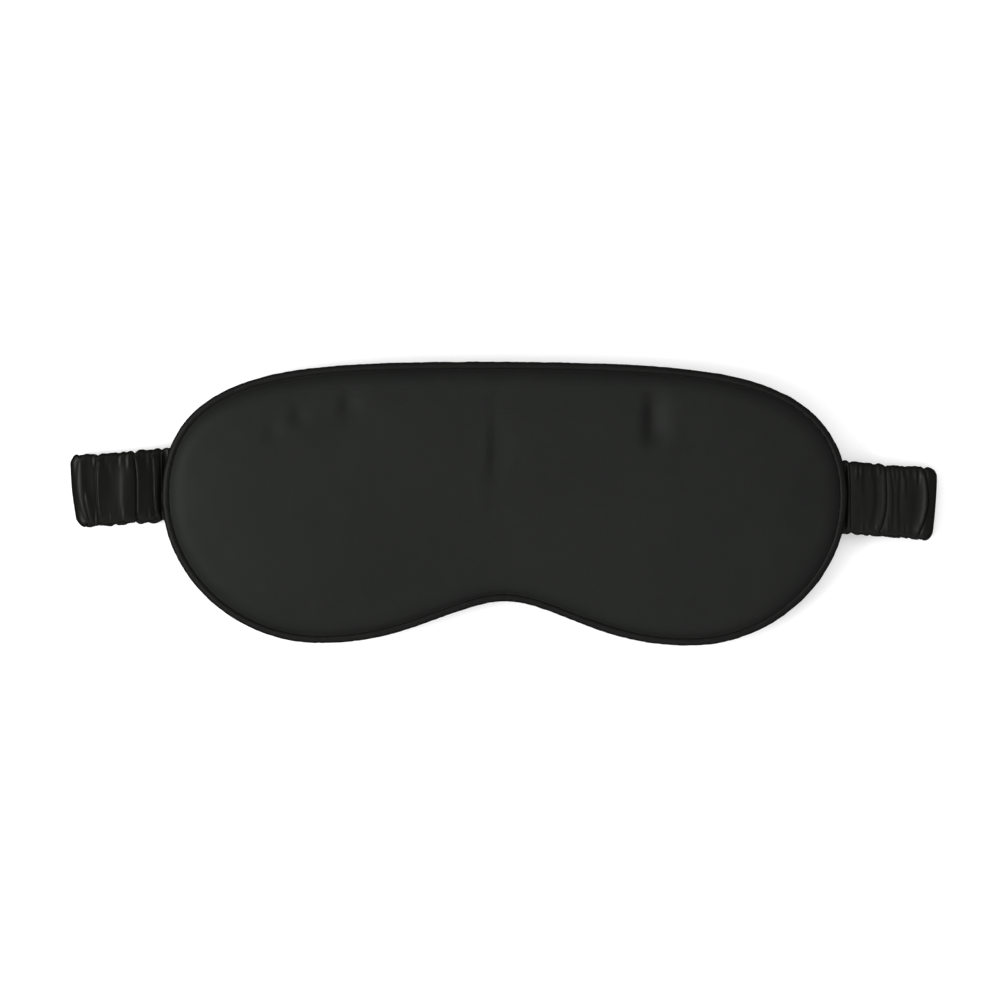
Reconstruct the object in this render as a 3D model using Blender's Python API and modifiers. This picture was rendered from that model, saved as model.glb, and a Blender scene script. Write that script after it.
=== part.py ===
# Sleep eye mask: padded satin pad with a corded (piped) edge and one ruched
# satin-covered elastic strap.  The mask lies on its back with its front face up:
# X runs across the face, Y towards the forehead, Z out of the front.
# Origin: under the nose bridge, on the table.  "left" is -X, "right" is +X.
#
# The strap leaves each side seam, folds back on itself and runs behind the pad,
# so at rest it is two layers at the sides and one layer under the pad.
#
# Dimensions are in millimetres; MM turns them into scene metres.

import math

import bmesh
import bpy
from mathutils import Vector

MM = 0.001
SIDES = ((-1, "left"), (1, "right"))    # sign of X, name

# ---- pad outline: outer edge of the piping, +X half of a mirrored pattern --------
HALF_WIDTH = 215.0 / 2
TOP_Y = 44.35               # forehead edge at the centre
SHOULDER = (62.6, 41.7)     # where the top edge starts to turn down
SHOULDER_SLOPE = -0.138
SIDE_Y = 1.8                # widest point
LOBE = (57.6, -44.35)       # lowest point under each eye
NOTCH_Y = -30.8             # top of the nose notch
# Bezier handle lengths, in order round the outline
HANDLE_TOP = 29.1
HANDLE_SHOULDER_IN = 13.5
HANDLE_SHOULDER_OUT = 26.8
HANDLE_SIDE_UP = 26.2
HANDLE_SIDE_DOWN = 23.6
HANDLE_LOBE_OUT = 28.7
HANDLE_LOBE_IN = 27.8
HANDLE_NOTCH = 14.3
BEZIER_STEPS = 80           # samples along each Bezier before even spacing
OUTLINE_STEPS = 30          # spans along one half outline

# ---- pad section -----------------------------------------------------------------
SEAM_Z = 8.7                # plane of the perimeter seam
PIPING_R = 1.4
PIPING_WALL = 0.45
CORD_R = 0.62
RIM_INSET = 3.1             # the covers start just inside the piping
RIM_GAP = 1.1               # covers' outer faces stand this far off the seam plane
FRONT_RISE = 5.0
BACK_RISE = 4.0
ROLL = 9.0                  # distance over which the pad rounds over at its edge
COVER_T = 0.5
LINER_T = 0.35
LINER_INSET = RIM_INSET + 3.4
LINER_DEPTH = 1.0           # liner's outer face below the front cover's
PADDING_INSET = 10.2
PADDING_FRONT_DEPTH = 1.9   # wadding below the front cover's outer face
PADDING_BACK_DEPTH = 1.1    # wadding above the back cover's outer face
THREAD_R = 0.2
THREAD_INSET = RIM_INSET + 0.55
NOSE_GAP = 0.2              # each half stops this far from the bridge plane

# ---- dome mesh: inset rings near the rim, then rings shrunk towards the centre ----
RING_STEPS = (0.0, 2.5, 6.0, 11.0)  # ring insets from the panel's own rim
MAX_RING_INSET = 20.0               # rings inset further than this are left out
SHRINK_FACTORS = (0.66, 0.33)
SHRINK_DEPTH = 32.0                 # depth gained from the last inset ring to the centre
DOME_CENTRE = (0.0, 6.0)

# ---- strap section ---------------------------------------------------------------
STRAP_Y = 3.0               # the strap leaves the seam a little above mid height
SLEEVE_W, SLEEVE_H, SLEEVE_WALL = 23.0, 3.2, 0.6
SLEEVE_OUTER_R, SLEEVE_INNER_R = 1.4, 0.8
ELASTIC_W, ELASTIC_T = 20.0, 1.2
ELASTIC_EASE = 0.25         # largest easing of the elastic's edges
ELASTIC_INSET = 0.1         # the elastic stops this far inside its sleeve's ends
LAYER_GAP = 0.6
LAYER_LOW = SLEEVE_H / 2                            # layer on the table, centre height
LAYER_HIGH = SLEEVE_H + LAYER_GAP + SLEEVE_H / 2    # layer folded over it
END_GAP = 0.2               # each segment stops this far from its joint

# ---- sewn-in end of the elastic, inside the pad ----------------------------------
SEWN_INNER_X = HALF_WIDTH - 9.6
SEWN_OUTER_X = HALF_WIDTH - 5.7
SEWN_T = 0.6

# ---- strap joints and fold, on the +X side; joint axes are parallel to Y ---------
CENTRE_HALF = 25.0
REAR_LEN = 50.0
REAR_END_X = CENTRE_HALF + REAR_LEN
HINGE_Z = SLEEVE_H
FOLD_X = 132.0              # the strap turns over from here, round a centre half way up
FOLD_TOP = LAYER_HIGH + SLEEVE_H / 2
FOLD_MIDDLE = FOLD_TOP / 2
FOLD_GAP_DEG = 2.5          # each layer stops this short of the fold's outer edge
FOLD_STEPS = 7
FOLD_HINGE_X = FOLD_X + FOLD_MIDDLE
FOLD_HINGE_Z = 3.67         # a little above the middle, which closes the opened loop
SLIDE_X = 105.0             # the lower layer stretches here
TAB_SLIDE_X = 118.5         # the upper layer stretches here
SEAM_X = 105.0              # where the strap is sewn in, under the piping
SEAM_JOINT_Z = FOLD_TOP
TAB_SEAM_GAP = 0.3          # the upper layer stops this far from the sewn seam


# ---- scene and materials ---------------------------------------------------------
def clear_scene():
    for piece in list(bpy.data.objects):
        bpy.data.objects.remove(piece, do_unlink=True)
    for collection in list(bpy.data.collections):
        bpy.data.collections.remove(collection)


def fabric(name, colour, roughness, sheen=0.0):
    material = bpy.data.materials.new(name)
    material.use_nodes = True
    inputs = material.node_tree.nodes["Principled BSDF"].inputs
    inputs["Base Color"].default_value = (*colour, 1.0)
    inputs["Roughness"].default_value = roughness
    inputs["Sheen Weight"].default_value = sheen
    return material


clear_scene()
PARTS = bpy.data.collections.new("sleep_eye_mask")
bpy.context.scene.collection.children.link(PARTS)

SATIN = fabric("satin_charmeuse", colour=(0.021, 0.023, 0.022), roughness=0.42, sheen=0.3)
STRAP_SATIN = fabric("satin_ruched", colour=(0.015, 0.016, 0.015), roughness=0.36, sheen=0.3)
PIPING_SATIN = fabric("satin_piping", colour=(0.014, 0.015, 0.014), roughness=0.45, sheen=0.3)
LINER = fabric("blackout_liner", colour=(0.01, 0.01, 0.011), roughness=0.9)
WADDING = fabric("wadding", colour=(0.72, 0.70, 0.66), roughness=0.95)
ELASTIC = fabric("woven_elastic", colour=(0.02, 0.02, 0.02), roughness=0.8)
CORD = fabric("piping_cord", colour=(0.65, 0.63, 0.58), roughness=0.9)
THREAD = fabric("polyester_thread", colour=(0.012, 0.012, 0.012), roughness=0.5)


# ---- objects ---------------------------------------------------------------------
def attach(child, parent):
    """Parents child without moving it."""
    bpy.context.view_layer.update()
    child.parent = parent
    child.matrix_parent_inverse = parent.matrix_world.inverted()


def add_piece(name, data, material, parent):
    piece = bpy.data.objects.new(name, data)
    PARTS.objects.link(piece)
    data.materials.append(material)
    attach(piece, parent)
    return piece


def add_body(name, x, z, parent=None):
    """An empty on the joint axis that carries one moving group."""
    empty = bpy.data.objects.new("body_" + name, None)
    empty.empty_display_size = 0.01
    PARTS.objects.link(empty)
    empty.location = (x * MM, STRAP_Y * MM, z * MM)
    if parent is not None:
        attach(empty, parent)
    return empty


def mesh_from(draft, name):
    """Turns a bmesh into a mesh and frees it."""
    mesh = bpy.data.meshes.new(name)
    draft.to_mesh(mesh)
    draft.free()
    return mesh


def smooth(mesh, angle=40):
    mesh.shade_smooth()
    mesh.set_sharp_from_angle(angle=math.radians(angle))


def add_face(draft, corners, reverse):
    draft.faces.new(corners[::-1] if reverse else corners)


def add_thickness(piece, thickness):
    """Solidifies a surface inwards from its outer face."""
    modifier = piece.modifiers.new("thickness", "SOLIDIFY")
    modifier.thickness = thickness * MM
    modifier.offset = -1.0


def add_poly_spline(curve, points):
    spline = curve.splines.new("POLY")
    spline.points.add(len(points) - 1)
    for point, (x, y, z) in zip(spline.points, points):
        point.co = (x * MM, y * MM, z * MM, 1.0)
    return spline


# ---- outline ---------------------------------------------------------------------
def bezier(start, handle_out, handle_in, end, t):
    rest = 1.0 - t
    return tuple(
        rest**3 * a + 3 * rest * rest * t * b + 3 * rest * t * t * c + t**3 * d
        for a, b, c, d in zip(start, handle_out, handle_in, end)
    )


def outline_samples():
    """Closely spaced points from the top centre round the side to the nose notch."""
    length = math.hypot(1.0, SHOULDER_SLOPE)
    along_x, along_y = 1.0 / length, SHOULDER_SLOPE / length
    shoulder_x, shoulder_y = SHOULDER
    lobe_x, lobe_y = LOBE

    def shoulder_handle(reach):
        return (shoulder_x + along_x * reach, shoulder_y + along_y * reach)

    # start, handle, handle, end
    pieces = (
        ((0, TOP_Y), (HANDLE_TOP, TOP_Y), shoulder_handle(-HANDLE_SHOULDER_IN), SHOULDER),
        (SHOULDER, shoulder_handle(HANDLE_SHOULDER_OUT),
         (HALF_WIDTH, SIDE_Y + HANDLE_SIDE_UP), (HALF_WIDTH, SIDE_Y)),
        ((HALF_WIDTH, SIDE_Y), (HALF_WIDTH, SIDE_Y - HANDLE_SIDE_DOWN),
         (lobe_x + HANDLE_LOBE_OUT, lobe_y), LOBE),
        (LOBE, (lobe_x - HANDLE_LOBE_IN, lobe_y), (HANDLE_NOTCH, NOTCH_Y), (0, NOTCH_Y)),
    )
    return [
        bezier(*piece, i / BEZIER_STEPS) for piece in pieces for i in range(BEZIER_STEPS + 1)
    ]


def half_outline():
    """The half outline as evenly spaced points."""
    fine = outline_samples()
    run = [0.0]     # distance along the outline at each sample
    for a, b in zip(fine, fine[1:]):
        run.append(run[-1] + math.dist(a, b))
    points, j = [], 0
    for i in range(OUTLINE_STEPS + 1):
        target = run[-1] * i / OUTLINE_STEPS
        while j < len(run) - 2 and run[j + 1] < target:
            j += 1
        fraction = (target - run[j]) / (run[j + 1] - run[j])
        points.append(tuple(a + (b - a) * fraction for a, b in zip(fine[j], fine[j + 1])))
    return points


OUTLINE = half_outline()


def inset_outline(distance, end_x=0.0):
    """The half outline moved inwards along its normals, with both ends put at end_x."""
    before_first = (-OUTLINE[1][0], OUTLINE[1][1])
    after_last = (-OUTLINE[-2][0], OUTLINE[-2][1])
    padded = [before_first, *OUTLINE, after_last]
    moved = []
    for before, (x, y), after in zip(padded, OUTLINE, padded[2:]):
        step_x, step_y = after[0] - before[0], after[1] - before[1]
        length = math.hypot(step_x, step_y)
        moved.append((x + step_y / length * distance, y - step_x / length * distance))
    moved[0] = (end_x, moved[0][1])
    moved[-1] = (end_x, moved[-1][1])
    return moved


# ---- pad heights, at a given distance in from the outline -------------------------
def roll_over(depth):
    """0 at the covers' rim, towards 1 in the middle of the pad."""
    return 1.0 - math.exp(-(depth - RIM_INSET) / ROLL)


def front_height(depth):
    return SEAM_Z + RIM_GAP + FRONT_RISE * roll_over(depth)


def back_height(depth):
    return SEAM_Z - RIM_GAP - BACK_RISE * roll_over(depth)


def liner_height(depth):
    return front_height(depth) - LINER_DEPTH


def padding_top(depth):
    return front_height(depth) - PADDING_FRONT_DEPTH


def padding_bottom(depth):
    return back_height(depth) + PADDING_BACK_DEPTH


# ---- domed panels and wadding ----------------------------------------------------
def dome_rings(rim_inset, height):
    """Rings of (x, y, z) from an inset outline inwards, and the centre point."""
    insets = [rim_inset + step for step in RING_STEPS if rim_inset + step <= MAX_RING_INSET]
    made = [[(x, y, height(inset)) for x, y in inset_outline(inset)] for inset in insets]
    deepest = insets[-1]
    centre_x, centre_y = DOME_CENTRE
    for factor in SHRINK_FACTORS:
        z = height(deepest + (1.0 - factor) * SHRINK_DEPTH)
        made.append([
            (centre_x + (x - centre_x) * factor, centre_y + (y - centre_y) * factor, z)
            for x, y in inset_outline(deepest)
        ])
    return made, (centre_x, centre_y, height(deepest + SHRINK_DEPTH))


def add_dome(draft, side, rim_inset, height, upward):
    """Adds a half dome; returns its rows of vertices, rim first, and its centre vertex."""
    ring_points, centre = dome_rings(rim_inset, height)

    def vertex(point):
        x, y, z = point
        return draft.verts.new((side * x * MM, y * MM, z * MM))

    rows = [[vertex(point) for point in ring] for ring in ring_points]
    middle = vertex(centre)
    reverse = (side > 0) == upward
    for outer, inner in zip(rows, rows[1:]):
        for i in range(len(outer) - 1):
            add_face(draft, [outer[i], outer[i + 1], inner[i + 1], inner[i]], reverse)
    for a, b in zip(rows[-1], rows[-1][1:]):
        add_face(draft, [a, b, middle], reverse)
    return rows, middle


def add_shell(name, side, rim_inset, height, thickness, upward, material, parent):
    """A domed fabric panel: an open half dome, trimmed at the bridge and thickened."""
    draft = bmesh.new()
    add_dome(draft, side, rim_inset, height, upward)
    bmesh.ops.bisect_plane(
        draft,
        geom=draft.verts[:] + draft.edges[:] + draft.faces[:],
        dist=1e-7,
        plane_co=(side * NOSE_GAP * MM, 0, 0),
        plane_no=(side, 0, 0),
        clear_inner=True,
    )
    mesh = mesh_from(draft, name)
    smooth(mesh)
    add_thickness(add_piece(name, mesh, material, parent), thickness)


def add_padding(name, side, parent):
    """The wadding: upper and lower domes, closed round the rim and at the bridge."""
    draft = bmesh.new()
    upper, upper_middle = add_dome(draft, side, PADDING_INSET, padding_top, True)
    lower, lower_middle = add_dome(draft, side, PADDING_INSET, padding_bottom, False)
    reverse = side < 0

    top, low = upper[0], lower[0]
    for i in range(len(top) - 1):
        add_face(draft, [top[i], low[i], low[i + 1], top[i + 1]], reverse)

    def bridge_line(rows, middle):
        return [row[0] for row in rows] + [middle] + [row[-1] for row in reversed(rows)]

    top = bridge_line(upper, upper_middle)
    low = bridge_line(lower, lower_middle)
    for i in range(len(top) - 1):
        add_face(draft, [top[i], top[i + 1], low[i + 1], low[i]], reverse)

    bmesh.ops.translate(draft, verts=draft.verts[:], vec=(side * NOSE_GAP * MM, 0, 0))
    bmesh.ops.recalc_face_normals(draft, faces=draft.faces[:])
    mesh = mesh_from(draft, name)
    smooth(mesh)
    add_piece(name, mesh, WADDING, parent)


# ---- piping, cord and thread -----------------------------------------------------
def edge_curve(name, side, inset, radius, resolution, caps):
    """A round wire along the half outline, in the seam plane."""
    curve = bpy.data.curves.new(name, "CURVE")
    curve.dimensions = "3D"
    add_poly_spline(curve, [(side * x, y, SEAM_Z) for x, y in inset_outline(inset, NOSE_GAP)])
    curve.bevel_depth = radius * MM
    curve.bevel_resolution = resolution
    curve.use_fill_caps = caps
    return curve


def mesh_from_curve(curve):
    """The curve's evaluated surface, taken through a temporary object."""
    carrier = bpy.data.objects.new(curve.name, curve)
    PARTS.objects.link(carrier)
    bpy.context.view_layer.update()
    graph = bpy.context.evaluated_depsgraph_get()
    mesh = bpy.data.meshes.new_from_object(carrier.evaluated_get(graph))
    bpy.data.objects.remove(carrier, do_unlink=True)
    return mesh


def face_outwards(draft, side):
    """Makes an open tube's normals agree, then checks one face against the tube's axis."""
    bmesh.ops.recalc_face_normals(draft, faces=draft.faces[:])
    draft.faces.ensure_lookup_table()
    probe = draft.faces[len(draft.faces) // 2]
    probe_centre = probe.calc_center_median()
    axis = [
        Vector((side * x * MM, y * MM, SEAM_Z * MM)) for x, y in inset_outline(PIPING_R, NOSE_GAP)
    ]
    nearest = min(axis, key=lambda point: (point - probe_centre).length)
    if probe.normal.dot(probe_centre - nearest) < 0:
        bmesh.ops.reverse_faces(draft, faces=draft.faces[:])


def add_piping(name, side, parent):
    """Bias strip rolled round the cord: an open tube, thickened inwards."""
    curve = edge_curve(name, side, inset=PIPING_R, radius=PIPING_R, resolution=2, caps=False)
    mesh = mesh_from_curve(curve)
    draft = bmesh.new()
    draft.from_mesh(mesh)
    bmesh.ops.remove_doubles(draft, verts=draft.verts[:], dist=1e-6)
    face_outwards(draft, side)
    draft.to_mesh(mesh)
    draft.free()
    smooth(mesh)
    add_thickness(add_piece(name, mesh, PIPING_SATIN, parent), PIPING_WALL)


# ---- strap pieces ----------------------------------------------------------------
def rounded_rectangle(width, height, radius, steps=3):
    """Points (u, v) round the section, u across the thickness and v across the width."""
    points = []
    for sign_u, sign_v, first_degrees in ((1, 1, 0), (-1, 1, 90), (-1, -1, 180), (1, -1, 270)):
        for k in range(steps + 1):
            angle = math.radians(first_degrees + 90 * k / steps)
            points.append((
                sign_u * (height / 2 - radius) + radius * math.cos(angle),
                sign_v * (width / 2 - radius) + radius * math.sin(angle),
            ))
    return points


SLEEVE_RINGS = (
    rounded_rectangle(SLEEVE_W, SLEEVE_H, SLEEVE_OUTER_R),
    rounded_rectangle(SLEEVE_W - 2 * SLEEVE_WALL, SLEEVE_H - 2 * SLEEVE_WALL, SLEEVE_INNER_R),
)
ELASTIC_RINGS = (rounded_rectangle(ELASTIC_W, ELASTIC_T, ELASTIC_EASE, steps=1),)


def add_sleeve(name, low_x, high_x, z, parent):
    """A length of the tubular cover: two nested outlines, filled and extruded along X."""
    curve = bpy.data.curves.new(name, "CURVE")
    curve.dimensions = "2D"
    curve.fill_mode = "BOTH"
    curve.extrude = (high_x - low_x) / 2 * MM
    for ring in SLEEVE_RINGS:
        spline = add_poly_spline(curve, [(u, v, 0) for u, v in ring])
        spline.use_cyclic_u = True
    piece = add_piece(name, curve, STRAP_SATIN, parent)
    piece.location = ((low_x + high_x) / 2 * MM, STRAP_Y * MM, z * MM)
    piece.rotation_euler = (0, math.pi / 2, 0)


def add_band(name, low_x, high_x, z, thickness, parent):
    """A length of flat woven elastic with eased edges."""
    draft = bmesh.new()
    bmesh.ops.create_cube(draft, size=1.0)
    size = ((high_x - low_x) * MM, ELASTIC_W * MM, thickness * MM)
    bmesh.ops.scale(draft, vec=size, verts=draft.verts[:])
    piece = add_piece(name, mesh_from(draft, name), ELASTIC, parent)
    piece.location = ((low_x + high_x) / 2 * MM, STRAP_Y * MM, z * MM)
    modifier = piece.modifiers.new("eased", "BEVEL")
    modifier.width = min(ELASTIC_EASE, thickness * 0.3) * MM
    modifier.segments = 1


def add_strap_length(tag, x0, x1, z, parent):
    """A straight length of strap: sleeve and the elastic inside it."""
    low_x, high_x = sorted((x0, x1))
    add_sleeve("sleeve_" + tag, low_x, high_x, z, parent)
    add_band(
        "elastic_" + tag, low_x + ELASTIC_INSET, high_x - ELASTIC_INSET, z, ELASTIC_T, parent
    )


def add_folded_part(name, side, upper, start_x, section, material, parent):
    """A section run straight out to the fold and then round just under a quarter turn.
    section holds the outer outline and, for a tube, the inner one, as (u, v)."""
    reach = LAYER_HIGH - FOLD_MIDDLE
    stations = [(start_x, 0.0)]     # x, degrees turned
    for k in range(FOLD_STEPS + 1):
        stations.append((FOLD_X, (90.0 - FOLD_GAP_DEG) * k / FOLD_STEPS))

    def place(x, degrees, u, v):
        turn = math.radians(degrees)
        out = x + (reach + u) * math.sin(turn)
        height = (reach + u) * math.cos(turn)
        z = FOLD_MIDDLE + (height if upper else -height)
        return (side * out * MM, (STRAP_Y + v) * MM, z * MM)

    draft = bmesh.new()

    def join(first, second):
        for i in range(len(first)):
            j = (i + 1) % len(first)
            draft.faces.new((first[i], first[j], second[j], second[i]))

    grids = [
        [[draft.verts.new(place(x, degrees, u, v)) for u, v in ring] for x, degrees in stations]
        for ring in section
    ]
    for grid in grids:
        for current, following in zip(grid, grid[1:]):
            join(current, following)
    for end in (0, -1):
        if len(grids) == 1:
            draft.faces.new(grids[0][end])
        else:
            join(grids[0][end], grids[1][end])
    bmesh.ops.recalc_face_normals(draft, faces=draft.faces[:])
    mesh = mesh_from(draft, name)
    smooth(mesh, angle=50)
    add_piece(name, mesh, material, parent)


def add_folded_length(tag, side, upper, start_x, parent):
    """One layer's folded end; the two layers' ends meet at the fold's outer edge."""
    add_folded_part("sleeve_" + tag, side, upper, start_x, SLEEVE_RINGS, STRAP_SATIN, parent)
    add_folded_part(
        "elastic_" + tag, side, upper, start_x + ELASTIC_INSET, ELASTIC_RINGS, ELASTIC, parent
    )


# ---- assembly --------------------------------------------------------------------
def build_strap_side(side, word, centre):
    """The strap from its centre length out to one sewn seam; returns the last body."""
    rear = add_body("strap_rear_" + word, side * CENTRE_HALF, HINGE_Z, centre)
    add_strap_length(
        "rear_" + word, side * (CENTRE_HALF + END_GAP), side * (REAR_END_X - END_GAP),
        LAYER_LOW, rear,
    )

    flank = add_body("strap_side_" + word, side * REAR_END_X, HINGE_Z, rear)
    add_strap_length(
        "side_" + word, side * (REAR_END_X + END_GAP), side * (SLIDE_X - END_GAP),
        LAYER_LOW, flank,
    )

    stretch = add_body("strap_stretch_" + word, side * SLIDE_X, LAYER_LOW, flank)
    add_folded_length("stretch_" + word, side, False, SLIDE_X + END_GAP, stretch)

    tab_outer = add_body("tab_outer_" + word, side * FOLD_HINGE_X, FOLD_HINGE_Z, stretch)
    add_folded_length("tab_outer_" + word, side, True, TAB_SLIDE_X + END_GAP, tab_outer)

    tab_inner = add_body("tab_inner_" + word, side * TAB_SLIDE_X, LAYER_HIGH, tab_outer)
    add_strap_length(
        "tab_inner_" + word, side * (SEAM_X + TAB_SEAM_GAP), side * (TAB_SLIDE_X - END_GAP),
        LAYER_HIGH, tab_inner,
    )
    return tab_inner


def build_pad_half(side, word, strap_end):
    """One half of the pad, on the seam where this side's strap is sewn in."""
    half = add_body("mask_" + word, side * SEAM_X, SEAM_JOINT_Z, strap_end)

    # name, rim inset, outer face height, thickness, faces up, material
    panels = (
        ("front_cover_", RIM_INSET, front_height, COVER_T, True, SATIN),
        ("back_cover_", RIM_INSET, back_height, COVER_T, False, SATIN),
        ("blackout_liner_", LINER_INSET, liner_height, LINER_T, True, LINER),
    )
    for name, rim_inset, height, thickness, upward, material in panels:
        add_shell(name + word, side, rim_inset, height, thickness, upward, material, half)
    add_padding("padding_" + word, side, half)
    add_piping("piping_cover_" + word, side, half)

    # name, inset, radius, bevel resolution, material
    wires = (
        ("piping_cord_", PIPING_R, CORD_R, 1, CORD),
        ("seam_thread_", THREAD_INSET, THREAD_R, 0, THREAD),
    )
    for name, inset, radius, resolution, material in wires:
        curve = edge_curve(name + word, side, inset, radius, resolution, caps=True)
        add_piece(name + word, curve, material, half)

    low_x, high_x = sorted((side * SEWN_INNER_X, side * SEWN_OUTER_X))
    add_band("elastic_end_" + word, low_x, high_x, SEAM_Z, SEWN_T, half)


def build_mask():
    centre = add_body("strap_centre", 0.0, HINGE_Z)
    centre_end = CENTRE_HALF - END_GAP
    add_strap_length("centre", -centre_end, centre_end, LAYER_LOW, centre)
    for side, word in SIDES:
        strap_end = build_strap_side(side, word, centre)
        build_pad_half(side, word, strap_end)
    bpy.context.view_layer.update()


build_mask()
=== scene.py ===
# Satin sleep mask with a padded front and a gathered elastic strap.
# It lies face up on the floor: x is its width (left is -x), +y the brow edge, -y the nose notch,
# +z the front face.  The strap runs below the pad, folds at each side and comes back on top to
# the pad's edge.  The helpers work in millimetres; meshes are written in metres.

import math
from dataclasses import dataclass
from types import SimpleNamespace

import bpy
import bmesh
import numpy as np
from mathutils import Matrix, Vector


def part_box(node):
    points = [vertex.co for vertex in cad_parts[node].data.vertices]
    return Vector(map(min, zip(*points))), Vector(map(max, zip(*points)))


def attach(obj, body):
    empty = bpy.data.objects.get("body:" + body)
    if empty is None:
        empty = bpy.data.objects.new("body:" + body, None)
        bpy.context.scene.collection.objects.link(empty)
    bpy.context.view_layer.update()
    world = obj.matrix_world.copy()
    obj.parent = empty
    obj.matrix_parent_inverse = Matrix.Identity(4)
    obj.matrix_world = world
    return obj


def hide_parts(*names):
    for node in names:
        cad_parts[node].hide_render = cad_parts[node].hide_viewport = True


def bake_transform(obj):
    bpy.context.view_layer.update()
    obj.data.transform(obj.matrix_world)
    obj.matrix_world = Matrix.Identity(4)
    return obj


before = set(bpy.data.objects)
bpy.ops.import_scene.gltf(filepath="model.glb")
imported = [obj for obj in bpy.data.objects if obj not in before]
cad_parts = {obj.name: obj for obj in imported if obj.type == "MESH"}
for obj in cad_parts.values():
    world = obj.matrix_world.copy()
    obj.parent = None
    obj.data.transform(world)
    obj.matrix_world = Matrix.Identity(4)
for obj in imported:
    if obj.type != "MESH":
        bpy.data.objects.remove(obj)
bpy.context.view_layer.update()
MM = 0.001
SIDES = (("left", -1.0), ("right", 1.0))


def box_mm(node):
    low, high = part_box(node)
    return np.array(low) * 1000.0, np.array(high) * 1000.0


# ---- sizes read from the frame ---------------------------------------------------
pipe_lo, pipe_hi = box_mm("piping_cover_right")
rear_lo, rear_hi = box_mm("sleeve_rear_right")
tab_lo, tab_hi = box_mm("sleeve_tab_outer_right")

HALF_WIDTH = pipe_hi[0]
TOP_Y, BOTTOM_Y = pipe_hi[1], pipe_lo[1]
SEAM_Z = (pipe_lo[2] + pipe_hi[2]) / 2
PIPE_R = (pipe_hi[2] - pipe_lo[2]) / 2
FRONT_Z = box_mm("front_cover_right")[1][2]
BACK_Z = box_mm("back_cover_right")[0][2]
FOLD_EDGE = tab_hi[0] - 0.1
STRAP_W = tab_hi[1] - tab_lo[1]
LOW_Z = (rear_lo[2] + rear_hi[2]) / 2
HIGH_Z = tab_hi[2] - (rear_hi[2] - rear_lo[2]) / 2

# ---- pad -------------------------------------------------------------------------
RIM_START = 2.30            # the covers' edges sit on the inner shoulder of the piping
RIM_INSET = 3.1
ROLL_NEAR, ROLL_FAR = 2.5, 16.0     # reach of the quick roll at the rim and of the slow crown
COVER_GAP = 1.1             # each cover springs from this far above or below the seam plane
CENTRE = np.array([0.0, 6.0])

# ---- strap -----------------------------------------------------------------------
SLANT = -0.0084             # the strap behind lies a little off level
LINE_Y = 1.75
HALF_W = STRAP_W / 2 - 0.45
HALF_T = 1.22
TURN_R = 2.05               # of the centre line in the fold
TURN_X = FOLD_EDGE - TURN_R - 1.0
LOW_C = LOW_Z + 0.03
MID_Z = (LOW_Z + HIGH_Z) / 2
TAB_END_X = 103.7
PIVOT_X = 105.0             # the strap turns at the seam here, under the piping
CUT_REAR, CUT_SIDE = 50.0, 88.0
CUT_LOW, CUT_HIGH = TURN_X - 8.0, TURN_X - 4.0
# distances along the strap's centre line from the middle of the back
TURN_START = TURN_X
TURN_END = TURN_X + math.pi * TURN_R
TURN_MID = (TURN_START + TURN_END) / 2
RUN_END = TURN_END + (TURN_X - TAB_END_X)

# tab_y: where the tab meets the seam; slant: lean of the fold; calming: share of relief lost on top
STRAP = {
    "left": SimpleNamespace(
        tab_y=5.45, slant=1.25, calming=0.0, tuck_seed=401, surface_seed=500, gather_seed=77
    ),
    "right": SimpleNamespace(
        tab_y=2.95, slant=0.7, calming=0.50, tuck_seed=402, surface_seed=501, gather_seed=78
    ),
}


# ================================================================================
# curves and noise
# ================================================================================
def smoothstep(x):
    x = np.clip(x, 0.0, 1.0)
    return x * x * (3 - 2 * x)


def ease(value, start, end):
    """Rises smoothly from 0 at start to 1 at end."""
    return smoothstep((np.asarray(value, float) - start) / (end - start))


def bell(value, centre, width):
    return np.exp(-(((value - centre) / width) ** 2))


def sample_lattice(grid, x, y):
    """Smoothly interpolated lattice value; the lattice repeats."""
    column, row = np.floor(x).astype(int), np.floor(y).astype(int)
    part_x, part_y = smoothstep(x - column), smoothstep(y - row)
    columns, rows = grid.shape
    here, after = column % columns, (column + 1) % columns
    low, high = row % rows, (row + 1) % rows
    below = grid[here, low] * (1 - part_x) + grid[after, low] * part_x
    above = grid[here, high] * (1 - part_x) + grid[after, high] * part_x
    return below * (1 - part_y) + above * part_y


class Noise:
    """Seeded value noise in -1..1.  cell: lattice spacing; shift: offset in cells."""

    def __init__(self, seed, size=64):
        self.grid = np.random.default_rng(seed).uniform(-1, 1, (size, size))

    def __call__(self, x, y, cell=(1.0, 1.0), shift=(0, 0)):
        x = np.asarray(x, float) / cell[0] + shift[0]
        y = np.asarray(y, float) / cell[1] + shift[1]
        return sample_lattice(self.grid, x, y)


# ================================================================================
# mesh helpers
# ================================================================================
def make_object(name, verts, faces, mat, uv=None, flat_from=None):
    """A smooth mesh object from points in millimetres; faces from index flat_from on are flat."""
    mesh = bpy.data.meshes.new(name)
    mesh.from_pydata((np.asarray(verts, float) * MM).tolist(), [], faces)
    mesh.update()
    smooth = np.full(len(mesh.polygons), True)
    if flat_from is not None:
        smooth[flat_from:] = False
    mesh.polygons.foreach_set("use_smooth", smooth)
    if uv is not None:
        layer = mesh.uv_layers.new(name="UVMap")
        layer.data.foreach_set("uv", np.asarray(uv, np.float32)[corner_vertices(mesh)].ravel())
    mesh.materials.append(mat)
    ob = bpy.data.objects.new(name, mesh)
    bpy.context.scene.collection.objects.link(ob)
    return ob


def corner_vertices(mesh):
    index = np.empty(len(mesh.loops), np.int32)
    mesh.loops.foreach_get("vertex_index", index)
    return index


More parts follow.
